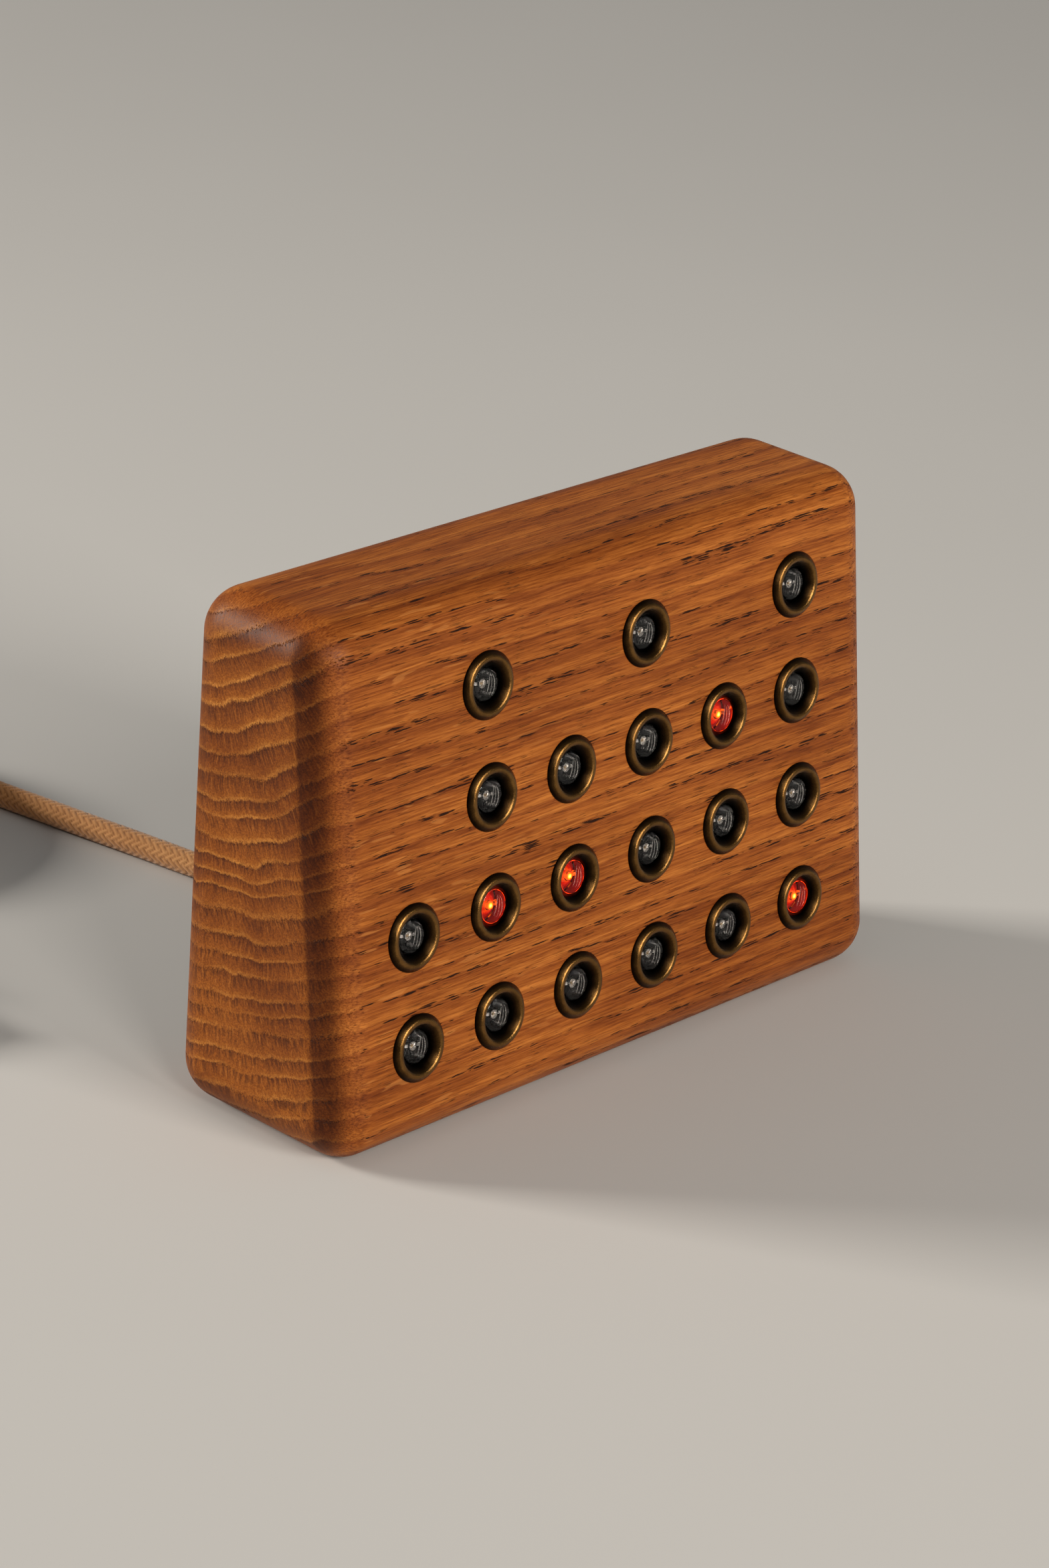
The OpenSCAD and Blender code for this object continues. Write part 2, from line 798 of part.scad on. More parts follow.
// Rubber bush with a flange on each side of the cover and a tapered nose
module cord_bush() {
    color("#141414")
        translate([0, 0, cord_z])
            rotate([-90, 0, 0])
                difference() {
                    union() {
                        translate([0, 0, cover_in - bush_flange_t])
                            cylinder(cover_t + 2 * bush_flange_t, r = bush_r);
                        for (y = [cover_in - bush_flange_t, body_d / 2])
                            translate([0, 0, y]) cylinder(bush_flange_t, r = bush_flange_r);
                        translate([0, 0, body_d / 2 + bush_flange_t - 0.1])
                            cylinder(bush_nose + 0.1, bush_r, cord_r + 0.8);
                    }
                    translate([0, 0, -1]) cylinder(bush_tip + 2, r = cord_r + tight);
                }
}

module cord_free() {
    color(braid) tube(cord_route, cord_r, 10);
}

module cord_coil() {
    count = ceil(coil_turns * coil_rings);
    turns = [for (k = [0:count]) coil_point(360 * coil_turns * k / count)];
    gap = min([
        for (i = [0:count - 12]) for (j = [i + 12:count]) norm(turns[i] - turns[j])
    ]) - cord_d;
    echo(least_gap_in_coil = gap);
    color(braid) tube(concat([coil_join], turns, tail_route), cord_r, 6);
}

// Flat tie round the whole bundle of turns
module cord_tie() {
    inner = coil_r - coil_step * coil_turns / 2 - cord_r - 2 * loose;
    outer = coil_r + cord_r + 2 * loose;
    top = coil_low + coil_step + cord_r + loose;
    color(black)
        translate([coil_centre[0], coil_centre[1], 0])
            rotate([90, 0, tie_angle])
                translate([(inner + outer) / 2, 0, -tie_w / 2])
                    difference() {
                        translate([0, (top + tie_t) / 2, 0])
                            rounded_plate(outer - inner + 2 * tie_t, top + tie_t, 2, tie_w);
                        translate([0, (top + tie_t) / 2, -1])
                            rounded_plate(outer - inner, top - tie_t, 1.3, tie_w + 2);
                    }
}

// ---------- plug ----------

// Puts its children at the back end of the plug, with their Z along the plug to its tip
module on_plug() {
    translate(plug_at) rotate([90, 0, 0]) children();
}

module usb_plug_body() {
    color(black)
        on_plug()
            difference() {
                union() {
                    cylinder(plug_nose + 0.5, cord_r + 0.8, cord_r + 1.8);
                    translate([0, 0, plug_nose]) rounded_plate(plug_w, plug_h, 2.5, plug_len);
                }
                translate([0, 0, plug_nose + plug_len - 2 - loose])
                    translate([-shell_w / 2 - tight, -shell_h / 2 - tight, 0])
                        cube([shell_w + 2 * tight, shell_h + 2 * tight, 5]);
            }
}

module usb_plug_shell() {
    color(steel)
        on_plug()
            translate([0, 0, plug_nose + plug_len - 2])
                difference() {
                    translate([-shell_w / 2, -shell_h / 2, 0]) cube([shell_w, shell_h, shell_len + 2]);
                    translate([-shell_w / 2 + shell_t, -shell_h / 2 + shell_t, 1])
                        cube([shell_w - 2 * shell_t, shell_h - 2 * shell_t, shell_len + 2]);
                    for (x = [-4.3, 2])
                        translate([x, -5, shell_len - 7]) cube([2.3, 10, 2.5]);
                }
}

module usb_plug_tongue() {
    side_gap = shell_t + loose;
    color("#e6e6e2")
        on_plug()
            translate([
                side_gap - shell_w / 2,
                shell_h / 2 - shell_t - tongue_t - tight,
                plug_nose + plug_len - 1
            ])
                cube([shell_w - 2 * side_gap, tongue_t, shell_len]);
}

body_block();
back_cover();
cover_screws();
led_board();
board_screws();
board_spacers();
for (i = [0:5])
    eyelets(i);
for (i = [0:5])
    for (b = [0:BITS[i] - 1])
        led(i, b);
led_leads();
resistors();
ic_socket();
microcontroller();
clock_chip();
crystals();
capacitors();
coin_cell_holder();
coin_cell();
button_board();
button_board_screws();
button_switches();
button_wires();
hour_button();
minute_button();
power_terminal();
terminal_screws();
power_wires();
cord_inner();
cord_lock();
cord_bush();
cord_free();
cord_coil();
cord_tie();
usb_plug_body();
usb_plug_shell();
usb_plug_tongue();
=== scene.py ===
"""Binary clock: an oak block with clear diodes in brass eyelets, and a braided lead behind it.

Lengths are in millimetres until a mesh is made. The frame has X to the right along the clock's front,
Y from the front to the back and Z up, with the origin on the floor under the middle of the block.
"""

import math
from types import SimpleNamespace

import bmesh
import bpy
import numpy as np
from mathutils import Euler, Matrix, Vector


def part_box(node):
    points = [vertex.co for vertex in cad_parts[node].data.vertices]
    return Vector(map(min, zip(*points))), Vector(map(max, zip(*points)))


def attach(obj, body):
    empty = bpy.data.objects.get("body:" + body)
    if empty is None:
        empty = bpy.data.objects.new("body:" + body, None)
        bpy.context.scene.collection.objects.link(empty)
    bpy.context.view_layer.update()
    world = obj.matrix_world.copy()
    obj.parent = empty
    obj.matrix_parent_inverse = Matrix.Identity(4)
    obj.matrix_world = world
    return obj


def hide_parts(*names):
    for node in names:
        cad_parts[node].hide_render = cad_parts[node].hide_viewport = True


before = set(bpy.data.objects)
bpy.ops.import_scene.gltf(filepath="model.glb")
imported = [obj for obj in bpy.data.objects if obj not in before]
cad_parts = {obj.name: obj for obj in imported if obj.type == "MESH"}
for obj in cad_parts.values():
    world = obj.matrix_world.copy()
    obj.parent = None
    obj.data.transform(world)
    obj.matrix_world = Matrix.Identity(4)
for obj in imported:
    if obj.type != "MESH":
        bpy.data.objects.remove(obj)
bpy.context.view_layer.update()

MM = 0.001
CLOCK = "clock"

# ---------- sizes that the frame and the clock share ----------

block_low, block_high = (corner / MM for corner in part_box("body_block"))
BODY_W = block_high.x - block_low.x
BODY_H = block_high.z
BACK_Y = block_high.y
LEAN = math.radians(7.7)             # angle by which the front leans back
EDGE_R = 6.5                         # radius of the rounded edges
FOOT = (-BACK_Y + EDGE_R, EDGE_R)    # middle of the front lower edge's rounding, as (y, z)
BROW = (FOOT[0] + (BODY_H - 2 * EDGE_R) * math.tan(LEAN), BODY_H - EDGE_R)
FRONT_Y = FOOT[0] - EDGE_R / math.cos(LEAN) - FOOT[1] * math.tan(LEAN)   # front face at height zero
FRONT_WALL = 6.3                     # thickness of the wood behind the front face

COLUMNS = ("hours_tens", "hours_units", "minutes_tens", "minutes_units", "seconds_tens", "seconds_units")
BITS = (2, 4, 3, 4, 3, 4)            # diodes in each column, from the bottom: 1, 2, 4 and 8
LIT = {("hours_units", 1), ("minutes_tens", 1), ("seconds_tens", 2), ("seconds_units", 0)}
PLACES = [(column, row) for column, bits in enumerate(BITS) for row in range(bits)]
PITCH = 16.0                         # distance between neighbouring diodes
GRID_X = -1.3                        # middle of the diodes' grid
GRID_Z = BODY_H / 2 + 0.7

POCKET = (89.6, 57.1)                # width and height of the room behind the front wall
POCKET_CORNER_R = 2.0
REBATE = 3.0                         # depth of the back cover's seat
REBATE_GAP = 0.1                     # room round the cover
REBATE_CORNER_R = 3.1

LENS_R = 2.5
LENS_EDGE_R = 0.35                   # rounding round a lens's flat end
LENS_TOP = -0.3                      # height of that end over the wood
LENS_FOOT = -7.3
FLANGE_R = 2.9
FLANGE_T = 1.0
EYELET_R = 4.9
EYELET_CREST = (3.93, 0.17)          # middle of the rounding over the crest, as (radius, height)
EYELET_ROLL = 0.7                    # radius of that rounding
EYELET_SLOPE = 43.0                  # angle of the funnel and of the rim's outer side
EYELET_LIP = 0.19
EYELET_THROAT = -0.25
BORE_R = 2.6
BARREL_R = 2.95
BARREL_END = -3.8
BARREL_CHAMFER = 0.08

CORD_D = 4.0
CORD_EXIT = (0.0, BACK_Y, 15.0)


def front_at(z):
    return FRONT_Y + z * math.tan(LEAN)


def on_front(points, u=0.0, v=0.0):
    """Points along the front face, up it and out of it, moved to the place u, v from the grid's middle."""
    p = np.asarray(points, float).reshape(-1, 3)
    c, s = math.cos(LEAN), math.sin(LEAN)
    a, b, w = p[:, 0] + u, p[:, 1] + v, p[:, 2]
    return np.column_stack([GRID_X + a, front_at(GRID_Z) + b * s - w * c, GRID_Z + b * c + w * s])


def led_place(column, row):
    return (column - 2.5) * PITCH, (row - 1.5) * PITCH


# ---------- mesh helpers ----------


def add_mesh(name, points, faces, material, smooth=35.0):
    """New object from points in millimetres; edges sharper than smooth, in degrees, stay sharp."""
    mesh = bpy.data.meshes.new(name)
    mesh.from_pydata((np.asarray(points, float) * MM).tolist(), [], [list(f) for f in faces])
    mesh.update()
    mesh.shade_smooth()
    mesh.set_sharp_from_angle(angle=math.radians(smooth))
    obj = bpy.data.objects.new(name, mesh)
    bpy.context.scene.collection.objects.link(obj)
    if material is not None:
        mesh.materials.append(material)
    return obj


def paint_points(obj, name, values):
    """Stores a number for each point, which a material reads by its name."""
    attribute = obj.data.attributes.new(name, "FLOAT", "POINT")
    attribute.data.foreach_set("value", np.asarray(values, np.float32).ravel())


def loft_faces(rings, count, closed=False):
    """Faces between rings of count points each, with a cap on either end unless the rings close."""
    faces = []
    for i in range(rings if closed else rings - 1):
        a, b = i * count, (i + 1) % rings * count
        faces += [(a + k, a + (k + 1) % count, b + (k + 1) % count, b + k) for k in range(count)]
    if not closed:
        faces.append(tuple(range(count))[::-1])
        faces.append(tuple(range((rings - 1) * count, rings * count)))
    return faces


def prism_faces(n):
    """Faces of a prism whose two ends have n points each."""
    sides = [(k, k + n, (k + 1) % n + n, (k + 1) % n) for k in range(n)]
    return [tuple(range(n)), tuple(range(2 * n - 1, n - 1, -1)), *sides]


def lathe(profile, segments, closed=False):
    """Points and faces of a profile of (radius, height) pairs, off the axis, turned round the third axis."""
    angles = np.arange(segments) * 2 * math.pi / segments
    c, s = np.cos(angles), np.sin(angles)
    rings = [np.column_stack([r * c, r * s, np.full(segments, h)]) for r, h in profile]
    return np.vstack(rings), loft_faces(len(profile), segments, closed)


def arc(centre, radii, start, end, steps):
    """Points of an arc of a circle or an ellipse, with its angles in degrees."""
    turn = np.radians(np.linspace(start, end, steps + 1))
    return [(centre[0] + radii[0] * math.cos(t), centre[1] + radii[1] * math.sin(t)) for t in turn]


def box_mesh(low, high):
    (x0, y0, z0), (x1, y1, z1) = low, high
    points = [(x, y, z) for x in (x0, x1) for y in (y0, y1) for z in (z0, z1)]
    faces = [(0, 1, 3, 2), (4, 6, 7, 5), (0, 4, 5, 1), (2, 3, 7, 6), (0, 2, 6, 4), (1, 5, 7, 3)]
    return np.array(points, float), faces


def join(parts):
    """One list of points and one of faces from several."""
    points, faces, start = [], [], 0
    for p, f in parts:
        points.append(p)
        faces += [tuple(i + start for i in face) for face in f]
        start += len(p)
    return np.vstack(points), faces


def cut(obj, cutter):
    """Takes the cutter's volume out of obj and removes the cutter."""
    modifier = obj.modifiers.new("cut", "BOOLEAN")
    modifier.operation = "DIFFERENCE"
    modifier.solver = "EXACT"
    modifier.object = cutter
    evaluated = obj.evaluated_get(bpy.context.evaluated_depsgraph_get())
    mesh = bpy.data.meshes.new_from_object(evaluated)
    obj.modifiers.clear()
    obj.data = mesh
    bpy.data.objects.remove(cutter)


def rounded_outline(w, h, r):
    """Corner arcs of a rounded rectangle round the middle, counter-clockwise."""
    x, z = w / 2 - r, h / 2 - r
    corners = ((x, z, 0), (-x, z, 90), (-x, -z, 180), (x, -z, 270))
    return [p for cx, cz, a in corners for p in arc((cx, cz), (r, r), a, a + 90, 6)]


def prism(name, outline, middle_z, front, back):
    """Closed prism along Y over an outline in X and Z, from front(z) to back."""
    points = [(x, front(z + middle_z), z + middle_z) for x, z in outline]
    points += [(x, back, z + middle_z) for x, z in outline]
    return add_mesh(name, points, prism_faces(len(outline)), None)


# ---------- material helpers ----------


class Surface:
    """A material's node tree, with short calls that return sockets."""

    def __init__(self, name):
        self.material = bpy.data.materials.new(name)
        self.material.use_nodes = True
        self.nodes = self.material.node_tree.nodes
        self.links = self.material.node_tree.links
        self.shader = self.nodes["Principled BSDF"]
        self.coordinates = self.nodes.new("ShaderNodeTexCoord").outputs

    def set(self, **values):
        for name, value in values.items():
            self.put(self.shader.inputs[name.replace("_", " ")], value)
        return self

    def put(self, socket, value):
        if isinstance(value, bpy.types.NodeSocket):
            self.links.new(value, socket)
        else:
            socket.default_value = value

    def object_mm(self, along=1.0, across=None):
        """Place in the clock's frame in millimetres, times one scale along X and one across it."""
        scale = (along, along, along) if across is None else (along, across, across)
        return self.vector("MULTIPLY", self.coordinates["Object"], [k / MM for k in scale])

    def vector(self, operation, a, b=None, out=0):
        node = self.nodes.new("ShaderNodeVectorMath")
        node.operation = operation
        self.put(node.inputs[0], a)
        if b is not None:
            self.put(node.inputs[1], b)
        return node.outputs[out]

    def split(self, vector):
        node = self.nodes.new("ShaderNodeSeparateXYZ")
        self.links.new(vector, node.inputs[0])
        return node.outputs

    def combine(self, x, y, z):
        node = self.nodes.new("ShaderNodeCombineXYZ")
        for socket, value in zip(node.inputs, (x, y, z)):
            self.put(socket, value)
        return node.outputs[0]

    def math(self, operation, a, b=0.0):
        node = self.nodes.new("ShaderNodeMath")
        node.operation = operation
        self.put(node.inputs[0], a)
        self.put(node.inputs[1], b)
        return node.outputs[0]

    def product(self, value, *others):
        for other in others:
            value = self.math("MULTIPLY", value, other)
        return value

    def swing(self, value, reach):
        """Moves a value of 0 to 1 to lie evenly about zero, over the reach."""
        return self.product(self.math("SUBTRACT", value, 0.5), reach)

    def noise(self, vector, detail=2.0, roughness=0.5, out="Fac"):
        node = self.nodes.new("ShaderNodeTexNoise")
        self.links.new(vector, node.inputs["Vector"])
        node.inputs["Scale"].default_value = 1.0
        node.inputs["Detail"].default_value = detail
        node.inputs["Roughness"].default_value = roughness
        return node.outputs[out]

    def cells(self, vector):
        """Distance from the nearest of many scattered points, and a colour for each of them."""
        node = self.nodes.new("ShaderNodeTexVoronoi")
        self.links.new(vector, node.inputs["Vector"])
        node.inputs["Scale"].default_value = 1.0
        return node.outputs["Distance"], node.outputs["Color"]

    def step(self, value, low, high, to_low=0.0, to_high=1.0):
        """Smooth step of a value from one range to another."""
        node = self.nodes.new("ShaderNodeMapRange")
        node.interpolation_type = "SMOOTHSTEP"
        self.put(node.inputs["Value"], value)
        limits = {"From Min": low, "From Max": high, "To Min": to_low, "To Max": to_high}
        for name, number in limits.items():
            node.inputs[name].default_value = number
        return node.outputs["Result"]

    def ramp(self, value, *stops):
        node = self.nodes.new("ShaderNodeValToRGB")
        self.put(node.inputs[0], value)
        elements = node.color_ramp.elements
        while len(elements) < len(stops):
            elements.new(1.0)
        for element, (place, colour) in zip(elements, stops):
            element.position = place
            element.color = (*colour, 1.0)
        return node.outputs["Color"]

    def mix(self, factor, a, b, blend="MIX"):
        node = self.nodes.new("ShaderNodeMix")
        node.data_type = "RGBA"
        node.blend_type = blend
        node.clamp_factor = True
        self.put(node.inputs[0], factor)
        for socket, value in zip((node.inputs[6], node.inputs[7]), (a, b)):
            self.put(socket, (*value, 1.0) if isinstance(value, tuple) else value)
        return node.outputs[2]

    def times(self, colour, factors):
        """A colour multiplied by another."""
        return self.mix(1.0, colour, factors, "MULTIPLY")

    def attribute(self, name):
        node = self.nodes.new("ShaderNodeAttribute")
        node.attribute_name = name
        return node.outputs["Fac"]

    def bump(self, height, distance, strength):
        """Bump from a height of 0 to 1 that stands for distance in millimetres."""
        node = self.nodes.new("ShaderNodeBump")
        node.inputs["Strength"].default_value = strength
        node.inputs["Distance"].default_value = distance * MM
        self.links.new(height, node.inputs["Height"])
        self.links.new(node.outputs[0], self.shader.inputs["Normal"])


# ---------- materials ----------

PITH = (20.0, 97.0)                  # centre of the growth rings, as (y, z)
RING = 2.9                           # average width of a ring


def tone(*levels):
    """Linear colour from the three numbers, 0 to 255, that a picture shows."""
    return tuple(((c / 255 + 0.055) / 1.055) ** 2.4 if c > 10 else c / 255 / 12.92 for c in levels)


def wander(s, along, across, detail, roughness, reach):
    """Slow shift in Y and Z, by up to half the reach either way."""
    colour = s.noise(s.object_mm(along, across), detail, roughness, "Color")
    return s.vector("MULTIPLY", s.vector("SUBTRACT", colour, (0.5, 0.5, 0.5)), (0.0, reach, reach))


def ray_noise(s, wood, scale, detail, roughness):
    """Noise over the ways along the grain, round the pith and out from it, with a scale for each."""
    ways = (wood.along, wood.turn, wood.radius)
    return s.noise(s.combine(*(s.product(way, k) for way, k in zip(ways, scale))), detail, roughness)


def oak_grain(s):
    """Where each point lies in the tree, and how much its surface faces along the grain."""
    wood = SimpleNamespace(place=s.object_mm())
    wood.along, _, wood.height = s.split(wood.place)
    warped = s.vector("ADD", wood.place, wander(s, 0.012, 0.035, 1.0, 0.5, 5.0))
    warped = s.vector("ADD", warped, wander(s, 0.035, 0.13, 2.0, 0.55, 2.6))
    radial = s.vector("MULTIPLY", s.vector("SUBTRACT", warped, (0.0, *PITH)), (0.0, 1.0, 1.0))
    _, ry, rz = s.split(radial)
    wood.radius = s.vector("LENGTH", radial, out=1)
    wood.turn = s.math("ARCTAN2", ry, s.product(rz, -1.0))

    # Place in a ring, from 0 to 1; the rings' edges are ragged where the fine rays cross them
    jag = ray_noise(s, wood, (0.05, 115.0, 0.45), 3.0, 0.75)
    ragged = s.math("ADD", wood.radius, s.swing(jag, 1.15))
    uneven = s.noise(s.combine(0.0, 0.0, s.product(wood.radius, 0.13)), 1.0)
    wood.phase = s.math("FRACT", s.math("ADD", s.math("DIVIDE", ragged, RING), s.product(uneven, 2.0)))

    normal_x, normal_y, _ = s.split(s.coordinates["Normal"])
    wood.slant = s.math("ABSOLUTE", normal_x)
    wood.end = s.step(wood.slant, 0.55, 0.92)
    wood.forward = s.step(normal_y, 0.0, -0.25, 0.25, 1.0)
    return wood


def oak_rings(s, wood):
    """Soft bands along the grain, and crisp lines on the ends that are faint in places."""
    bands = s.ramp(
        wood.phase,
        (0.0, tone(178, 97, 31)), (0.22, tone(146, 71, 19)), (0.65, tone(163, 84, 24)),
        (1.0, tone(178, 97, 31)),
    )
    lines = s.ramp(
        wood.phase,
        (0.0, tone(184, 108, 36)), (0.09, tone(192, 116, 42)), (0.17, tone(112, 52, 10)),
        (0.42, tone(136, 66, 13)), (0.75, tone(150, 76, 16)), (0.92, tone(158, 84, 20)),
        (1.0, tone(184, 108, 36)),
    )
    patch = s.noise(s.combine(s.product(wood.turn, 6.0), 0.0, s.product(wood.radius, 0.14)), 1.0)
    low_down = s.step(wood.height, 46.0, 14.0, 0.0, 0.35)
    faint = s.math("ADD", s.step(patch, 0.40, 0.62, 0.0, 0.55), low_down)
    return s.mix(wood.end, bands, s.mix(faint, lines, tone(152, 78, 17)))


def oak_fibres(s, wood, base, fibre):
    """Fine streaks along the grain, which are specks on the ends, then darker strands and broad bands."""
    dark, pale = s.times(base, (0.52, 0.45, 0.40)), s.times(base, (1.26, 1.52, 2.10))
    base = s.mix(s.step(fibre, 0.30, 0.70), dark, pale)
    strands = s.step(s.noise(s.object_mm(0.028, 0.85), 3.0, 0.6), 0.50, 0.72)
    strands = s.product(strands, s.math("SUBTRACT", 1.0, wood.end))
    base = s.mix(strands, base, s.times(base, (0.74, 0.66, 0.56)))
    broad = s.step(s.noise(s.object_mm(0.016, 0.06)), 0.35, 0.65)
    return s.mix(broad, s.times(base, (1.08, 1.12, 1.2)), s.times(base, (0.76, 0.70, 0.62)))


def oak_rays(s, wood, base):
    """Fine dark and pale lines on the ends, and pale flecks where the front lies along the rays."""
    hair = ray_noise(s, wood, (0.05, 190.0, 0.42), 2.0, 0.6)
    late = s.product(s.step(wood.phase, 0.10, 0.2), s.step(wood.phase, 1.0, 0.3))
    base = s.mix(s.product(s.step(hair, 0.47, 0.60), late, wood.end, 0.62), base, tone(70, 30, 8))
    base = s.mix(s.product(s.step(hair, 0.40, 0.30), wood.end, 0.3), base, tone(196, 122, 50))
    flecks = s.step(ray_noise(s, wood, (0.15, 75.0, 1.2), 1.0, 0.4), 0.655, 0.70)
    leftward = s.step(wood.along, 10.0, -50.0, 0.10, 1.0)
    flecks = s.product(flecks, s.step(wood.slant, 0.40, 0.05), leftward, 0.42)
    return s.mix(flecks, base, tone(200, 128, 62))


def oak_pores(s, wood):
    """Depth, from 0 to 1, of the tubes in the inner part of each ring and of a few thin ones elsewhere."""
    place = s.vector("ADD", wood.place, wander(s, 0.6, 2.0, 1.0, 0.5, 0.28))
    early = s.product(s.step(wood.phase, 0.36, 0.22), s.step(wood.phase, 0.01, 0.07))
    patchy = s.step(s.noise(s.object_mm(0.04, 0.16), 1.0), 0.34, 0.56, 0.35, 1.0)
    distance, tint = s.cells(s.vector("MULTIPLY", place, (0.24, 4.2, 4.2)))
    size = s.product(early, patchy, s.step(s.split(tint)[0], -0.15, 0.75, 0.0, 0.52))
    wide = s.step(s.math("SUBTRACT", size, distance), -0.03, 0.16)
    distance, tint = s.cells(s.vector("MULTIPLY", place, (0.17, 5.2, 5.2)))
    size = s.step(s.split(tint)[0], 0.45, 1.0, 0.0, 0.40)
    thin = s.step(s.math("SUBTRACT", size, distance), -0.02, 0.18)
    return s.math("MAXIMUM", wide, s.product(thin, 0.45))


def oak():
    """Oiled oak as a solid: rings round a pith that runs along X, pores drawn out along X, and rays."""
    s = Surface("oak")
    wood = oak_grain(s)
    fibre = s.noise(s.object_mm(0.13, 4.2), 4.0, 0.75)
    base = oak_rays(s, wood, oak_fibres(s, wood, oak_rings(s, wood), fibre))
    pores = oak_pores(s, wood)
    base = s.mix(s.product(pores, s.step(wood.slant, 0.05, 0.55, 1.0, 0.32)), base, tone(38, 15, 5))

    # Painted shade where the ends round over: the rounded end edges are darkened, most on those towards the
    # front
    painted_edge_shade = s.product(s.step(wood.slant, 0.45, 0.86), s.step(wood.slant, 1.0, 0.965), wood.forward)
    base = s.mix(painted_edge_shade, base, s.times(base, (0.40, 0.33, 0.28)))

    s.set(Base_Color=base, Roughness=s.step(s.math("ADD", fibre, pores), 0.3, 1.3, 0.42, 0.80),
          Specular_IOR_Level=0.17)
    s.bump(s.math("SUBTRACT", s.product(fibre, 0.16), pores), 0.16, 0.9)
    return s.material


def brass():
    """Antique brass: brown patina that is rubbed back on the crest of the rim."""
    s = Surface("antique_brass")
    cloud = s.noise(s.object_mm(0.8), 3.0, 0.6)
    grain = s.noise(s.object_mm(7.0), 3.0, 0.7)
    rub = s.math("ADD", s.attribute("rub"), s.swing(cloud, 0.45))
    rub = s.math("ADD", rub, s.swing(grain, 0.35))
    colour = s.ramp(rub, (0.0, tone(9, 6, 3)), (0.35, tone(38, 25, 12)), (0.75, tone(80, 56, 28)),
                    (1.0, tone(136, 98, 52)))
    s.set(Base_Color=colour, Metallic=1.0, Roughness=s.step(rub, 0.0, 1.0, 0.36, 0.23))
    s.bump(grain, 0.03, 0.8)
    return s.material


def clear_epoxy(name, tint):
    """Clear resin. Its index is below the real one, so that the flat ends mirror less of the pale floor."""
    s = Surface(name)
    haze = s.noise(s.object_mm(1.2))
    s.set(Base_Color=(*tint, 1.0), Roughness=s.step(haze, 0.3, 0.8, 0.0, 0.01), IOR=1.30,
          Transmission_Weight=1.0)
    return s.material


def shades(colour, dark, pale):
    """A darker and a paler shade of a colour."""
    return tuple(c * dark for c in colour), tuple(min(1.0, c * pale) for c in colour)


def metal(name, colour, roughness, scratch=0.2):
    """Metal with fine scratches, drawn out along X where the scratch's scale is small."""
    s = Surface(name)
    streaks = s.noise(s.object_mm(scratch, 5.0), 3.0, 0.6)
    s.set(Base_Color=s.mix(streaks, *shades(colour, 0.78, 1.12)), Metallic=1.0,
          Roughness=s.step(streaks, 0.2, 0.8, roughness * 0.75, roughness * 1.3))
    s.bump(streaks, 0.01, 0.4)
    return s.material


def plastic(name, colour, roughness, grain=0.02, scale=7.0):
    """Moulded plastic or rubber with a fine spark-eroded grain."""
    s = Surface(name)
    fine = s.noise(s.object_mm(scale), 3.0, 0.6)
    dust = s.noise(s.object_mm(0.35), 4.0, 0.65)
    s.set(Base_Color=s.mix(s.step(dust, 0.35, 0.75), *shades(colour, 0.9, 1.12)),
          Roughness=s.step(dust, 0.3, 0.8, roughness - 0.05, roughness + 0.07), Specular_IOR_Level=0.45)
    s.bump(fine, grain, 0.6)
    return s.material


def glow(name, colour, strength, uneven):
    """Dark surface that gives off light, more in some places than in others."""
    s = Surface(name)
    flicker = s.step(s.noise(s.object_mm(1.3)), 0.35, 0.65)
    light = s.mix(flicker, tuple(c * (1 - uneven) for c in colour), colour)
    s.set(Base_Color=(0.02, 0.01, 0.01, 1.0), Emission_Color=light, Emission_Strength=strength,
          Roughness=0.5)
    return s.material


def spread_glow(name, strength, uneven, *stops):
    """Light whose colour runs through the stops, from far from the die, 0, to close to it, 1."""
    s = Surface(name)
    near = s.math("ADD", s.attribute("near"), s.swing(s.noise(s.object_mm(1.6)), uneven))
    s.set(Base_Color=(0.01, 0.002, 0.002, 1.0), Emission_Color=s.ramp(near, *stops),
          Emission_Strength=strength, Roughness=0.5)
    return s.material


def braided_cotton():
    """Tan woven sleeve with painted shade between the strands, and fine yarns along each."""
    s = Surface("tan_braid")
    yarns = s.noise(s.vector("MULTIPLY", s.coordinates["UV"], (5.0, 5.0, 5.0)), 3.0, 0.7)
    strand = s.attribute("strand")
    # Painted shade: the colour darkens as the braid's height falls between the strands
    shade = s.ramp(s.math("ADD", s.product(strand, 0.8), s.product(yarns, 0.25)),
                   (0.0, tone(96, 58, 30)), (0.45, tone(170, 116, 66)), (1.0, tone(216, 158, 100)))
    wide = s.step(s.noise(s.object_mm(0.12)), 0.3, 0.75)
    s.set(Base_Color=s.mix(wide, shade, s.times(shade, (0.88, 0.84, 0.80))), Roughness=0.85,
          Specular_IOR_Level=0.2, Sheen_Weight=0.35, Sheen_Roughness=0.5)
    s.bump(s.math("ADD", s.product(strand, 0.6), yarns), 0.06, 0.7)
    return s.material


OAK = oak()
BRASS = brass()
CLEAR = clear_epoxy("clear_epoxy", (1.0, 0.95, 0.93))
# The lit diodes' resin is tinted red: painted red light from the die, for resin that is as clear as in the
# other diodes
CLEAR_RED_LIT = clear_epoxy("clear_epoxy_painted_red_light", (1.0, 0.75, 0.70))
SILVER = metal("silver_plate", (0.90, 0.88, 0.86), 0.26, 3.0)
LIT_SILVER = glow("silver_in_red_light", (1.0, 0.11, 0.004), 1.5, 0.9)
DIE_DARK = plastic("die", (0.36, 0.26, 0.14), 0.3)
GEL_GLOW = spread_glow("gel_glow", 4.0, 0.15, (0.0, (0.55, 0.010, 0.0)), (0.35, (1.0, 0.07, 0.002)),
                       (0.62, (1.0, 0.32, 0.010)), (0.9, (1.0, 0.80, 0.16)))
BED_GLOW = spread_glow("bed_glow", 1.0, 0.7, (0.0, (0.12, 0.0006, 0.0)), (0.4, (0.28, 0.0014, 0.0001)),
                       (0.75, (0.70, 0.008, 0.0003)), (1.0, (1.0, 0.09, 0.004)))
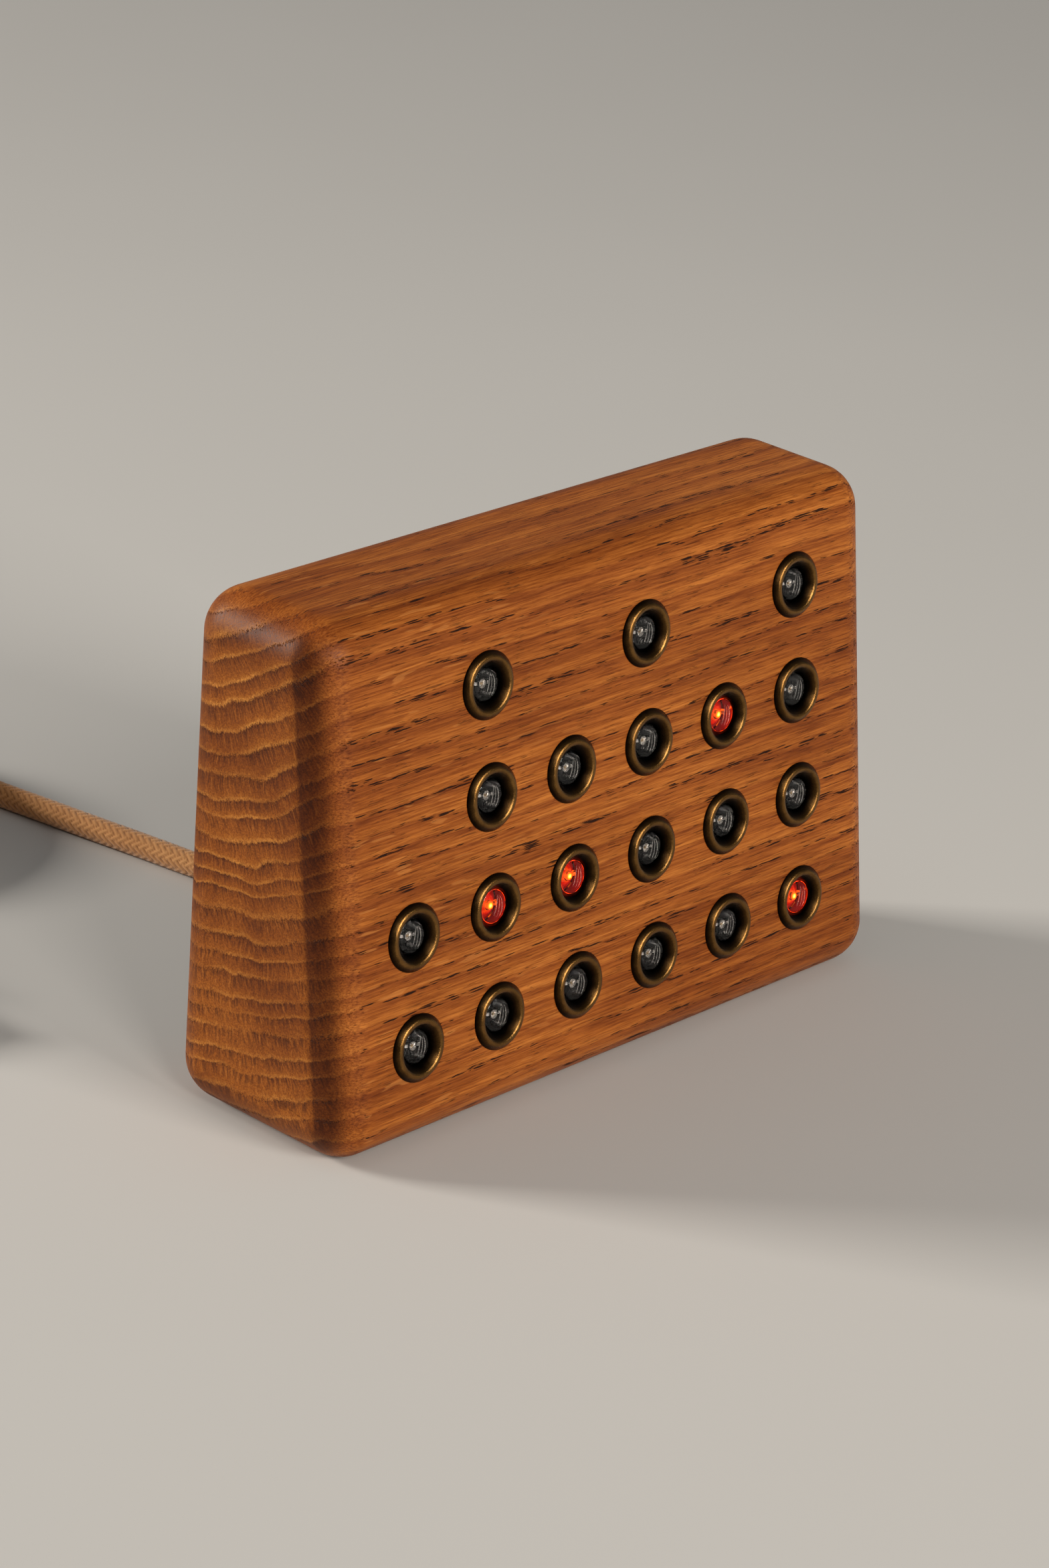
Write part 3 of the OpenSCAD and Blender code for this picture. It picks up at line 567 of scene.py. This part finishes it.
RIM_GLOW = glow("rim_glow", (1.0, 0.045, 0.002), 2.2, 0.93)
BRAID = braided_cotton()


# ---------- camera ----------

PHOTO_FOCAL_PX = 7307.0              # focal length in pixels of the 1568 x 2343 frame
PHOTO_LONG_PX = 2343.0
SENSOR = 36.0

camera_data = bpy.data.cameras.new("camera")
camera_data.sensor_width = SENSOR
camera_data.lens = PHOTO_FOCAL_PX / PHOTO_LONG_PX * SENSOR
camera = bpy.data.objects.new("camera", camera_data)
camera.location = Vector((-479.28, -427.97, 311.13)) * MM
camera.rotation_euler = Euler(math.radians(a) for a in (66.901, -3.801, -46.286))
bpy.context.scene.collection.objects.link(camera)
bpy.context.scene.camera = camera


# ---------- braided lead ----------

COIL_CENTRE = (-42.0, 123.5)
COIL_R = 30.0
COIL_START = 8.0                     # angles at which the coil's ends lie
COIL_END = 180.0
COIL_TURNS = 5 + (COIL_END - COIL_START) / 360
COIL_STEP = 4.6                      # distance between neighbouring turns, across and up
COIL_LOW = 2.8                       # height of the lower layer
BUSH_TIP = 26.85
PLUG_AT = (-73.5, 101.0, 4.0)

BRAID_SIDES = 48                     # points round the lead
BRAID_SPACING = 0.28                 # distance between rings of them
BRAID_STRANDS = 12                   # strands that run each way
BRAID_LAY = 1.35                     # length of lead over which a strand moves on by one place
BRAID_RELIEF = 0.20


def coil_point(angle):
    """Point of the coil, which spirals in on the floor, climbs at the middle and spirals out on top."""
    half = 180 * COIL_TURNS
    r = COIL_R - COIL_STEP * (half - abs(angle - half)) / 360
    climb = math.radians(min(90, max(-90, angle - half)))
    turn = math.radians(COIL_START + angle)
    z = COIL_LOW + COIL_STEP * (1 + math.sin(climb)) / 2
    return np.array([COIL_CENTRE[0] + r * math.cos(turn), COIL_CENTRE[1] + r * math.sin(turn), z])


def cord_line():
    """Points of the lead's whole route, from the cover through the bush and the coil to the plug."""
    heading = coil_point(1) - coil_point(0)
    heading /= np.linalg.norm(heading)
    join_at = coil_point(0) - CORD_D * heading
    route = [
        CORD_EXIT, (0, BUSH_TIP, 15),
        (0, 31, 15), (-0.4, 38, 13.7), (-1.1, 46, 9.8), (-1.9, 54, 5.4), (-2.9, 62, 2.7),
        (-4, 70, 2), (-5.3, 79, 2), (-6.7, 88, 2), (-8.2, 98, 2), (-9.7, 108, 2),
        join_at - CORD_D * heading, join_at,
    ]
    count = math.ceil(COIL_TURNS * 24)
    coil = [coil_point(360 * COIL_TURNS * k / count) for k in range(count + 1)]
    tail = [(-72.4, 116, 7.2), (-73, 110, 5.6), (-73.5, 105.5, 4), PLUG_AT]
    return np.array([*route, *coil, *tail], float)


def smooth_line(points, spacing, lowest=CORD_D / 2):
    """Centripetal Catmull-Rom curve through the points, evenly spaced, with no point below lowest."""
    p = np.vstack([2 * points[0] - points[1], points, 2 * points[-1] - points[-2]])
    fine = []
    for a, b, c, d in zip(p[:-3], p[1:-2], p[2:-1], p[3:]):
        t0 = 0.0
        t1 = t0 + np.linalg.norm(b - a) ** 0.5
        t2 = t1 + np.linalg.norm(c - b) ** 0.5
        t3 = t2 + np.linalg.norm(d - c) ** 0.5
        for t in np.linspace(t1, t2, 24, endpoint=False):
            ab = (t1 - t) / (t1 - t0) * a + (t - t0) / (t1 - t0) * b
            bc = (t2 - t) / (t2 - t1) * b + (t - t1) / (t2 - t1) * c
            cd = (t3 - t) / (t3 - t2) * c + (t - t2) / (t3 - t2) * d
            abc = (t2 - t) / (t2 - t0) * ab + (t - t0) / (t2 - t0) * bc
            bcd = (t3 - t) / (t3 - t1) * bc + (t - t1) / (t3 - t1) * cd
            fine.append((t2 - t) / (t2 - t1) * abc + (t - t1) / (t2 - t1) * bcd)
    fine = np.array([*fine, points[-1]])
    run = np.concatenate([[0], np.cumsum(np.linalg.norm(np.diff(fine, axis=0), axis=1))])
    steps = np.linspace(0, run[-1], int(run[-1] / spacing) + 1)
    even = np.column_stack([np.interp(steps, run, fine[:, k]) for k in range(3)])
    if lowest is not None:
        even[:, 2] = np.maximum(even[:, 2], lowest)
    return even, steps


def carried_frames(line):
    """Two directions square to the line at each point, which turn with it and don't twist round it."""
    heading = np.gradient(line, axis=0)
    heading /= np.linalg.norm(heading, axis=1)[:, None]
    side = np.cross([0.0, 0.0, 1.0], heading[0])
    side /= np.linalg.norm(side)
    sides = []
    for h in heading:
        side = side - np.dot(side, h) * h
        side /= np.linalg.norm(side)
        sides.append(side)
    sides = np.array(sides)
    return sides, np.cross(heading, sides)


def braid_height(around, along):
    """Height from 0 to 1 of a two-over-two braid; around is in turns and along in millimetres."""
    a = around * BRAID_STRANDS + along / BRAID_LAY
    b = around * BRAID_STRANDS - along / BRAID_LAY
    over = (np.floor(a) + np.floor(b)) % 4 < 2
    ridge_a, ridge_b = np.abs(np.sin(math.pi * a)), np.abs(np.sin(math.pi * b))
    return np.where(over, ridge_a ** 0.7, 0.85 * ridge_b ** 0.7)


def unroll(mesh, along, sides, girth):
    """UV map of a tube, in millimetres round it and along it; its caps, which come last, stay at zero."""
    uv = mesh.uv_layers.new(name="UVMap")
    i, k = np.meshgrid(np.arange(len(along) - 1), np.arange(sides), indexing="ij")
    corner_u = np.stack([k, k + 1, k + 1, k], -1).reshape(-1) / sides * girth
    corner_v = np.stack([along[i], along[i], along[i + 1], along[i + 1]], -1).reshape(-1)
    flat = np.zeros((len(uv.data), 2), np.float32)
    flat[:len(corner_u)] = np.column_stack([corner_u, corner_v])
    uv.data.foreach_set("uv", flat.ravel())


def braided_lead():
    line, along = smooth_line(cord_line(), BRAID_SPACING)
    sides, ups = carried_frames(line)
    turn = np.arange(BRAID_SIDES) / BRAID_SIDES
    height = braid_height(turn[None, :], along[:, None])
    r = CORD_D / 2 - BRAID_RELIEF * (1 - height)
    c, s = np.cos(2 * math.pi * turn), np.sin(2 * math.pi * turn)
    outward = c[None, :, None] * sides[:, None, :] + s[None, :, None] * ups[:, None, :]
    points = line[:, None, :] + r[..., None] * outward
    obj = add_mesh("power_lead", points.reshape(-1, 3), loft_faces(len(line), BRAID_SIDES), BRAID, 180.0)
    paint_points(obj, "strand", height)
    unroll(obj.data, along, BRAID_SIDES, math.pi * CORD_D)
    return obj, line, along[-1]


lead, lead_line, lead_length = braided_lead()
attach(lead, CLOCK)
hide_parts("cord_free", "cord_coil")


# ---------- oak block ----------


def spread(start, end, spacing, margin):
    """Numbers from start to end at about a spacing, with one close to each end."""
    inner = np.linspace(start + margin, end - margin, max(2, round(abs(end - start) / spacing)))
    return [start, *inner, end]


def block_section(r):
    """Points of the block's section in Y and Z, with its four edges rounded to r about the same centres."""
    lean = math.degrees(LEAN)
    centres = [
        (FOOT, 180 - lean, 270),
        ((BACK_Y - EDGE_R, EDGE_R), 270, 360),
        ((BACK_Y - EDGE_R, BODY_H - EDGE_R), 0, 90),
        (BROW, 90, 180 - lean),
    ]
    arcs = [arc(c, (r, r), a, b, 12) for c, a, b in centres]
    points = []
    for this, after in zip(arcs, arcs[1:] + arcs[:1]):
        points += this
        (y0, z0), (y1, z1) = this[-1], after[0]
        length = math.hypot(y1 - y0, z1 - z0)
        for t in spread(0.0, 1.0, 3.0 / length, 0.3 / length)[1:-1]:
            points.append((y0 + (y1 - y0) * t, z0 + (z1 - z0) * t))
    return points


def block_shell():
    """Points and faces of the block as sections along X, close together where the ends round over."""
    half = BODY_W / 2 - EDGE_R
    ends = [(half + EDGE_R * math.sin(t), EDGE_R * math.cos(t)) for t in np.radians(np.linspace(0, 90, 13))]
    stations = [(-x, r) for x, r in ends[::-1]]
    stations += [(x, EDGE_R) for x in spread(-half, half, 3.5, 0.3)[1:-1]]
    stations += ends
    sections = [block_section(r) for _, r in stations]
    points = [(x, y, z) for (x, _), section in zip(stations, sections) for y, z in section]
    return points, loft_faces(len(stations), len(sections[0]))


def solid_block():
    """The block before it is cut, with a narrow border round each flat end."""
    points, faces = block_shell()
    obj = add_mesh("oak_block", points, faces, OAK, 180.0)
    bm = bmesh.new()
    bm.from_mesh(obj.data)
    bmesh.ops.remove_doubles(bm, verts=bm.verts, dist=0.002 * MM)
    bmesh.ops.recalc_face_normals(bm, faces=bm.faces)
    caps = [f for f in bm.faces if len(f.verts) > 8]
    bmesh.ops.inset_individual(bm, faces=caps, thickness=0.3 * MM, use_even_offset=True)
    bm.to_mesh(obj.data)
    bm.free()
    return obj


def bores():
    """Stepped bores for the eyelets' barrels and the diodes, from before the wood to behind its wall."""
    start, step, end, axis = 1.5, BARREL_END - 0.2, -FRONT_WALL - 1, 0.01
    seat = BARREL_R + 0.05
    profile = [(axis, end), (BORE_R, end), (BORE_R, step), (seat, step), (seat, start), (axis, start)]
    points, faces = lathe(profile, 64)
    return join([(on_front(points, *led_place(*place)), faces) for place in PLACES])


def oak_block():
    """The block with the cover's rebate, the pocket and the bores cut out of it."""
    obj = solid_block()
    middle_z, behind = BODY_H / 2, BACK_Y + 1.0
    cover_low, cover_high = (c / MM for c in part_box("back_cover"))
    cover_w, _, cover_h = cover_high - cover_low
    rebate = rounded_outline(cover_w + 2 * REBATE_GAP, cover_h + 2 * REBATE_GAP, REBATE_CORNER_R)
    cut(obj, prism("rebate", rebate, middle_z, lambda z: BACK_Y - REBATE, behind))
    wall = FRONT_WALL / math.cos(LEAN)
    cut(obj, prism("pocket", rounded_outline(*POCKET, POCKET_CORNER_R), middle_z,
                   lambda z: front_at(z) + wall, behind))
    cut(obj, add_mesh("bores", *bores(), None))
    obj.data.shade_smooth()
    obj.data.set_sharp_from_angle(angle=math.radians(30))
    return obj


block = oak_block()
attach(block, CLOCK)
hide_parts("body_block")


# ---------- eyelets ----------


def eyelet_profile():
    """Closed section of an eyelet as (radius, height) pairs, from its outer side over the crest inwards."""
    outer_side = [
        (EYELET_R, 0.05),
        (EYELET_R, 0.12),
        (EYELET_R - 0.03, EYELET_LIP),
        (EYELET_R - 0.12, EYELET_LIP + 0.1),
    ]
    crest = arc(EYELET_CREST, (EYELET_ROLL, EYELET_ROLL), 90 - EYELET_SLOPE, 90 + EYELET_SLOPE, 18)
    funnel_foot = [(2.86, 0.13), (2.78, 0.045), (2.71, -0.04), (2.65, -0.13), (BORE_R + 0.01, EYELET_THROAT)]
    barrel = [
        (BORE_R, EYELET_THROAT - 0.15),
        (BORE_R, BARREL_END + BARREL_CHAMFER),
        (BORE_R + BARREL_CHAMFER, BARREL_END),
        (BARREL_R - BARREL_CHAMFER, BARREL_END),
        (BARREL_R, BARREL_END + BARREL_CHAMFER),
        (BARREL_R, 0.0),
        (EYELET_R - 0.05, 0.0),
    ]
    return outer_side + crest + funnel_foot + barrel


def rubbed(radius, height):
    """How far the patina is worn off, from 0 in the hollows to 1 along the crest."""
    if radius < BORE_R + 0.02 or height <= 0:
        return 0.0
    return (height / (EYELET_CREST[1] + EYELET_ROLL)) ** 1.4


def eyelets(index):
    """One column of eyelets."""
    profile = eyelet_profile()
    segments = 96
    points, faces = lathe(profile, segments, closed=True)
    parts = [(on_front(points, *led_place(index, row)), faces) for row in range(BITS[index])]
    obj = add_mesh("rims_" + COLUMNS[index], *join(parts), BRASS, 40.0)
    rub = [rubbed(r, h) for r, h in profile]
    paint_points(obj, "rub", np.tile(np.repeat(rub, segments), BITS[index]))
    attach(obj, CLOCK)
    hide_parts("eyelets_" + COLUMNS[index])


for index in range(len(COLUMNS)):
    eyelets(index)


# ---------- diodes ----------

DIE_TOP = LENS_TOP - 1.35
DIE_HALF = 0.16                      # half of a die's width
CUP_TOP = DIE_TOP + 0.26
CUP_FLOOR = DIE_TOP - 0.15
CUP_R = 0.66
PLATE = 0.42                         # thickness of the lead frame
AXIS_R = 0.02                        # radius at which a turned profile ends near its axis
LENS_SIDES = 72
CUP_SIDES = 48


def lens_parts(u, v):
    step = LENS_FOOT + FLANGE_T
    profile = [(AXIS_R, LENS_FOOT), (FLANGE_R, LENS_FOOT), (FLANGE_R, step), (LENS_R, step)]
    profile += arc((LENS_R - LENS_EDGE_R, LENS_TOP - LENS_EDGE_R), (LENS_EDGE_R, LENS_EDGE_R), 0, 90, 8)
    profile += [(AXIS_R, LENS_TOP)]
    points, faces = lathe(profile, LENS_SIDES)
    return on_front(points, u, v), faces


def tube_parts(line, r, sides=8):
    """Thin round wire through points; r is one radius or one for each point."""
    line = np.array(line, float)
    sides_at, ups = carried_frames(line)
    turn = 2 * math.pi * np.arange(sides) / sides
    points = [p + g * (math.cos(t) * a + math.sin(t) * b)
              for p, a, b, g in zip(line, sides_at, ups, np.broadcast_to(r, len(line))) for t in turn]
    return np.array(points), loft_faces(len(line), sides)


def plate_parts(outline):
    """Flat plate over an outline of (u, height) pairs, half its thickness to either side."""
    points = [(u, v, h) for v in (-PLATE / 2, PLATE / 2) for u, h in outline]
    return np.array(points, float), prism_faces(len(outline))


def lead_frame_parts(u, v):
    """Cup on its blade, the shorter post beside it and the bond wire between them."""
    rim, foot = CUP_TOP, LENS_FOOT + 0.1
    cup = [
        (AXIS_R, rim - 0.75), (CUP_R * 0.82, rim - 0.75), (CUP_R, rim - 0.12), (CUP_R, rim - 0.03),
        (CUP_R - 0.03, rim), (CUP_R - 0.08, rim), (0.30, CUP_FLOOR), (AXIS_R, CUP_FLOOR),
    ]
    blade = [
        (-1.7, foot), (-1.04, foot), (-1.04, rim - 5.2), (0.55, rim - 4.2), (0.75, rim - 1.6),
        (0.50, rim - 0.75), (-0.50, rim - 0.75), (-0.95, rim - 0.95), (-2.0, rim - 2.1),
    ]
    post = [
        (1.04, foot), (1.7, foot), (1.7, rim - 1.6), (1.95, rim - 1.3), (1.85, rim - 0.75),
        (1.15, rim + 0.05), (0.88, rim + 0.02), (0.86, rim - 0.35), (1.04, rim - 0.8),
    ]
    wire = [(t * 1.08, 0.02, DIE_TOP + 0.02 + (rim - DIE_TOP) * t + 0.42 * math.sin(math.pi * t) ** 0.8)
            for t in np.linspace(0.04, 0.98, 12)]
    parts = [lathe(cup, CUP_SIDES), plate_parts(blade), plate_parts(post), tube_parts(wire, 0.028)]
    points, faces = join(parts)
    return on_front(points, u, v), faces


GLINTS = (                           # depth below the lens's top, thickness, and points across the lens
    (0.40, 0.075, ((1.55, 1.15), (1.80, 0.60), (1.90, 0.0), (1.86, -0.60), (1.66, -1.25), (1.25, -1.82))),
    (0.62, 0.050, ((1.44, 0.95), (1.55, 0.35), (1.50, -0.25), (1.36, -0.90), (1.05, -1.55), (0.85, -1.80))),
    (0.92, 0.085, ((1.38, 1.20), (1.32, 0.60), (1.18, -0.05), (1.02, -0.65), (0.80, -1.15), (0.52, -1.62))),
    (0.45, 0.035, ((-1.80, 0.95), (-1.98, 0.55), (-2.06, 0.10), (-2.02, -0.35))),
)


def glint_parts(u, v):
    """Thin silver slivers that curve along the lens's side, where they catch the light: a painted
    reflection, standing for the lead frame as the lens wall mirrors it.
    """
    parts = []
    for depth, thickness, outline in GLINTS:
        line, run = smooth_line(np.array([(x, y, LENS_TOP - depth) for x, y in outline]), 0.12, None)
        swell = thickness * np.sin(math.pi * (0.04 + 0.92 * run / run[-1])) ** 0.7
        parts.append(tube_parts(line, swell, 10))
    points, faces = join(parts)
    return on_front(points, u, v), faces


def gel_parts(u, v):
    """Low dome of clear gel that fills the cup of a lit diode, and how near the die each point is."""
    r = CUP_R - 0.10
    dome = [(r, CUP_TOP - 0.12), *arc((0.0, CUP_TOP - 0.06), (r, 0.24), 0, 88, 10)]
    points, faces = lathe(dome, CUP_SIDES)
    near = np.repeat([1.0 - radius / CUP_R for radius, _ in dome], CUP_SIDES)
    return (on_front(points, u, v), faces), near


def rim_light_parts(u, v):
    """Thin ring of light round the edge of a lit lens's flat end."""
    ring = arc((LENS_R - 0.13, LENS_TOP - 0.14), (0.055, 0.055), 0, 360, 8)[:-1]
    points, faces = lathe(ring, LENS_SIDES, closed=True)
    return on_front(points, u, v), faces


def bed_light_parts(u, v):
    """Dim red cone below the cup of a lit diode, and how near the die each point is."""
    radii = np.linspace(CUP_R + 0.06, LENS_R - 0.12, 7)
    height = CUP_TOP - 0.5 - 1.1 * (radii - radii[0])
    bed = [*zip(radii, height), *zip(radii[::-1], height[::-1] - 0.1)]
    points, faces = lathe(bed, CUP_SIDES, closed=True)
    near = np.repeat(np.interp([r for r, _ in bed], (radii[0], radii[-1]), (1.0, 0.0)), CUP_SIDES)
    return (on_front(points, u, v), faces), near


def diode(column, row):
    lit = (COLUMNS[column], row) in LIT
    u, v = led_place(column, row)
    name = f"{COLUMNS[column]}_{2 ** row}"
    lens = add_mesh("lens_" + name, *lens_parts(u, v), CLEAR_RED_LIT if lit else CLEAR)
    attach(lens, CLOCK)
    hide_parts("led_" + name)
    lead_frame = add_mesh("lead_frame_" + name, *lead_frame_parts(u, v), LIT_SILVER if lit else SILVER)
    extras = [lead_frame, add_mesh("glints_" + name, *glint_parts(u, v), SILVER)]
    if lit:
        extras.append(add_mesh("rim_light_" + name, *rim_light_parts(u, v), RIM_GLOW))
        for start, (parts, near), material in (
            ("bed_light_", bed_light_parts(u, v), BED_GLOW),
            ("gel_", gel_parts(u, v), GEL_GLOW),
        ):
            extras.append(add_mesh(start + name, *parts, material))
            paint_points(extras[-1], "near", near)
    else:
        points, faces = box_mesh((-DIE_HALF, -DIE_HALF, CUP_FLOOR), (DIE_HALF, DIE_HALF, DIE_TOP))
        extras.append(add_mesh("die_" + name, on_front(points, u, v), faces, DIE_DARK))
    for piece in extras:
        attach(piece, CLOCK)


for column, row in PLACES:
    diode(column, row)


# ---------- pieces that keep their solids ----------

BLACK_SHEET = plastic("black_sheet", (0.020, 0.020, 0.021), 0.42, 0.008)
RUBBER = plastic("black_rubber", (0.016, 0.016, 0.016), 0.62, 0.02, 5.0)
MOULDED = plastic("moulded_black", (0.022, 0.022, 0.024), 0.48, 0.02)
IVORY = plastic("ivory", (0.72, 0.68, 0.58), 0.34, 0.008)
BOARD = plastic("black_solder_mask", (0.008, 0.009, 0.009), 0.30, 0.01, 3.0)
TERMINAL = plastic("terminal_green", (0.03, 0.26, 0.10), 0.4)
CHIP = plastic("chip_black", (0.025, 0.025, 0.028), 0.5)
SLEEVE = plastic("capacitor_sleeve", (0.03, 0.05, 0.14), 0.3)
WIRE_RED = plastic("wire_red", (0.42, 0.04, 0.025), 0.4)
LACQUER = plastic("resistor_lacquer", (0.55, 0.40, 0.23), 0.35)
NYLON = plastic("nylon", (0.78, 0.77, 0.72), 0.45)
WHITE_TONGUE = plastic("white_tongue", (0.80, 0.80, 0.78), 0.35, 0.005)
NICKEL = metal("dark_nickel", (0.34, 0.33, 0.32), 0.34)
TINNED = metal("tinned", (0.70, 0.70, 0.70), 0.35)
PLUG_METAL = metal("nickel_shell", (0.72, 0.71, 0.70), 0.20)

FINISHES = {
    BLACK_SHEET: ["back_cover"],
    NICKEL: ["cover_screws", "board_screws", "button_board_screws", "terminal_screws"],
    BOARD: ["led_board", "button_board"],
    NYLON: ["board_spacers"],
    TINNED: ["led_leads", "crystals", "coin_cell"],
    LACQUER: ["resistors"],
    MOULDED: ["ic_socket", "coin_cell_holder", "button_switches", "usb_plug_body", "cord_lock"],
    CHIP: ["microcontroller", "clock_chip"],
    SLEEVE: ["capacitors"],
    WIRE_RED: ["button_wires", "power_wires"],
    IVORY: ["hour_button", "minute_button"],
    TERMINAL: ["power_terminal"],
    BRAID: ["cord_inner"],
    RUBBER: ["cord_bush", "cord_tie"],
    PLUG_METAL: ["usb_plug_shell"],
    WHITE_TONGUE: ["usb_plug_tongue"],
}
for material, names in FINISHES.items():
    for name in names:
        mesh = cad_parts[name].data
        mesh.materials.clear()
        mesh.materials.append(material)


# ---------- floor, light and picture ----------


WARM = (1.0, 0.94, 0.86)
LAMPS = (                            # name, direction from the clock, size in metres, watts and colour
    ("left", (-0.56, 0.76, 0.36), 0.45, 8.8, WARM),
    ("front", (0.06, -0.93, 0.36), 0.60, 6.2, WARM),
    ("brow", (-0.36, -0.74, 0.57), 0.38, 2.0, WARM),
    ("top", (-0.10, -0.10, 0.98), 1.40, 0.4, (1.0, 0.98, 0.95)),
)
LAMP_DISTANCE = 1.8                  # in metres
LAMP_SPREAD = math.radians(100.0)    # a grid on each lamp keeps it off the far floor
LAMP_TARGET = Vector((0.0, 0.0, 40.0)) * MM
FLOOR_HALF = 4000.0


def pale_floor():
    paint = Surface("floor_paint")
    mottle = paint.noise(paint.object_mm(0.004), 3.0)
    paint.set(Base_Color=paint.mix(mottle, (0.56, 0.55, 0.53), (0.61, 0.60, 0.58)), Roughness=0.9,
              Specular_IOR_Level=0.08)
    corners = [(x * FLOOR_HALF, y * FLOOR_HALF, 0) for x, y in ((-1, -1), (1, -1), (1, 1), (-1, 1))]
    floor = add_mesh("floor", corners, [(0, 1, 2, 3)], paint.material)


def dim_room():
    world = bpy.data.worlds.new("studio")
    world.use_nodes = True
    background = world.node_tree.nodes["Background"].inputs
    background["Color"].default_value = (1.0, 0.99, 0.97, 1.0)
    background["Strength"].default_value = 0.17
    bpy.context.scene.world = world


def lamp(name, direction, size, power, colour):
    """Square soft lamp that looks at the clock."""
    light = bpy.data.lights.new(name, "AREA")
    light.size = size
    light.energy = power
    light.spread = LAMP_SPREAD
    light.color = colour
    obj = bpy.data.objects.new(name, light)
    obj.location = LAMP_TARGET + Vector(direction).normalized() * LAMP_DISTANCE
    obj.rotation_euler = (LAMP_TARGET - obj.location).to_track_quat("-Z", "Y").to_euler()
    bpy.context.scene.collection.objects.link(obj)


pale_floor()
dim_room()
for settings in LAMPS:
    lamp(*settings)
view = bpy.context.scene.view_settings
view.view_transform = "Standard"
view.look = "None"
view.exposure = 0.0
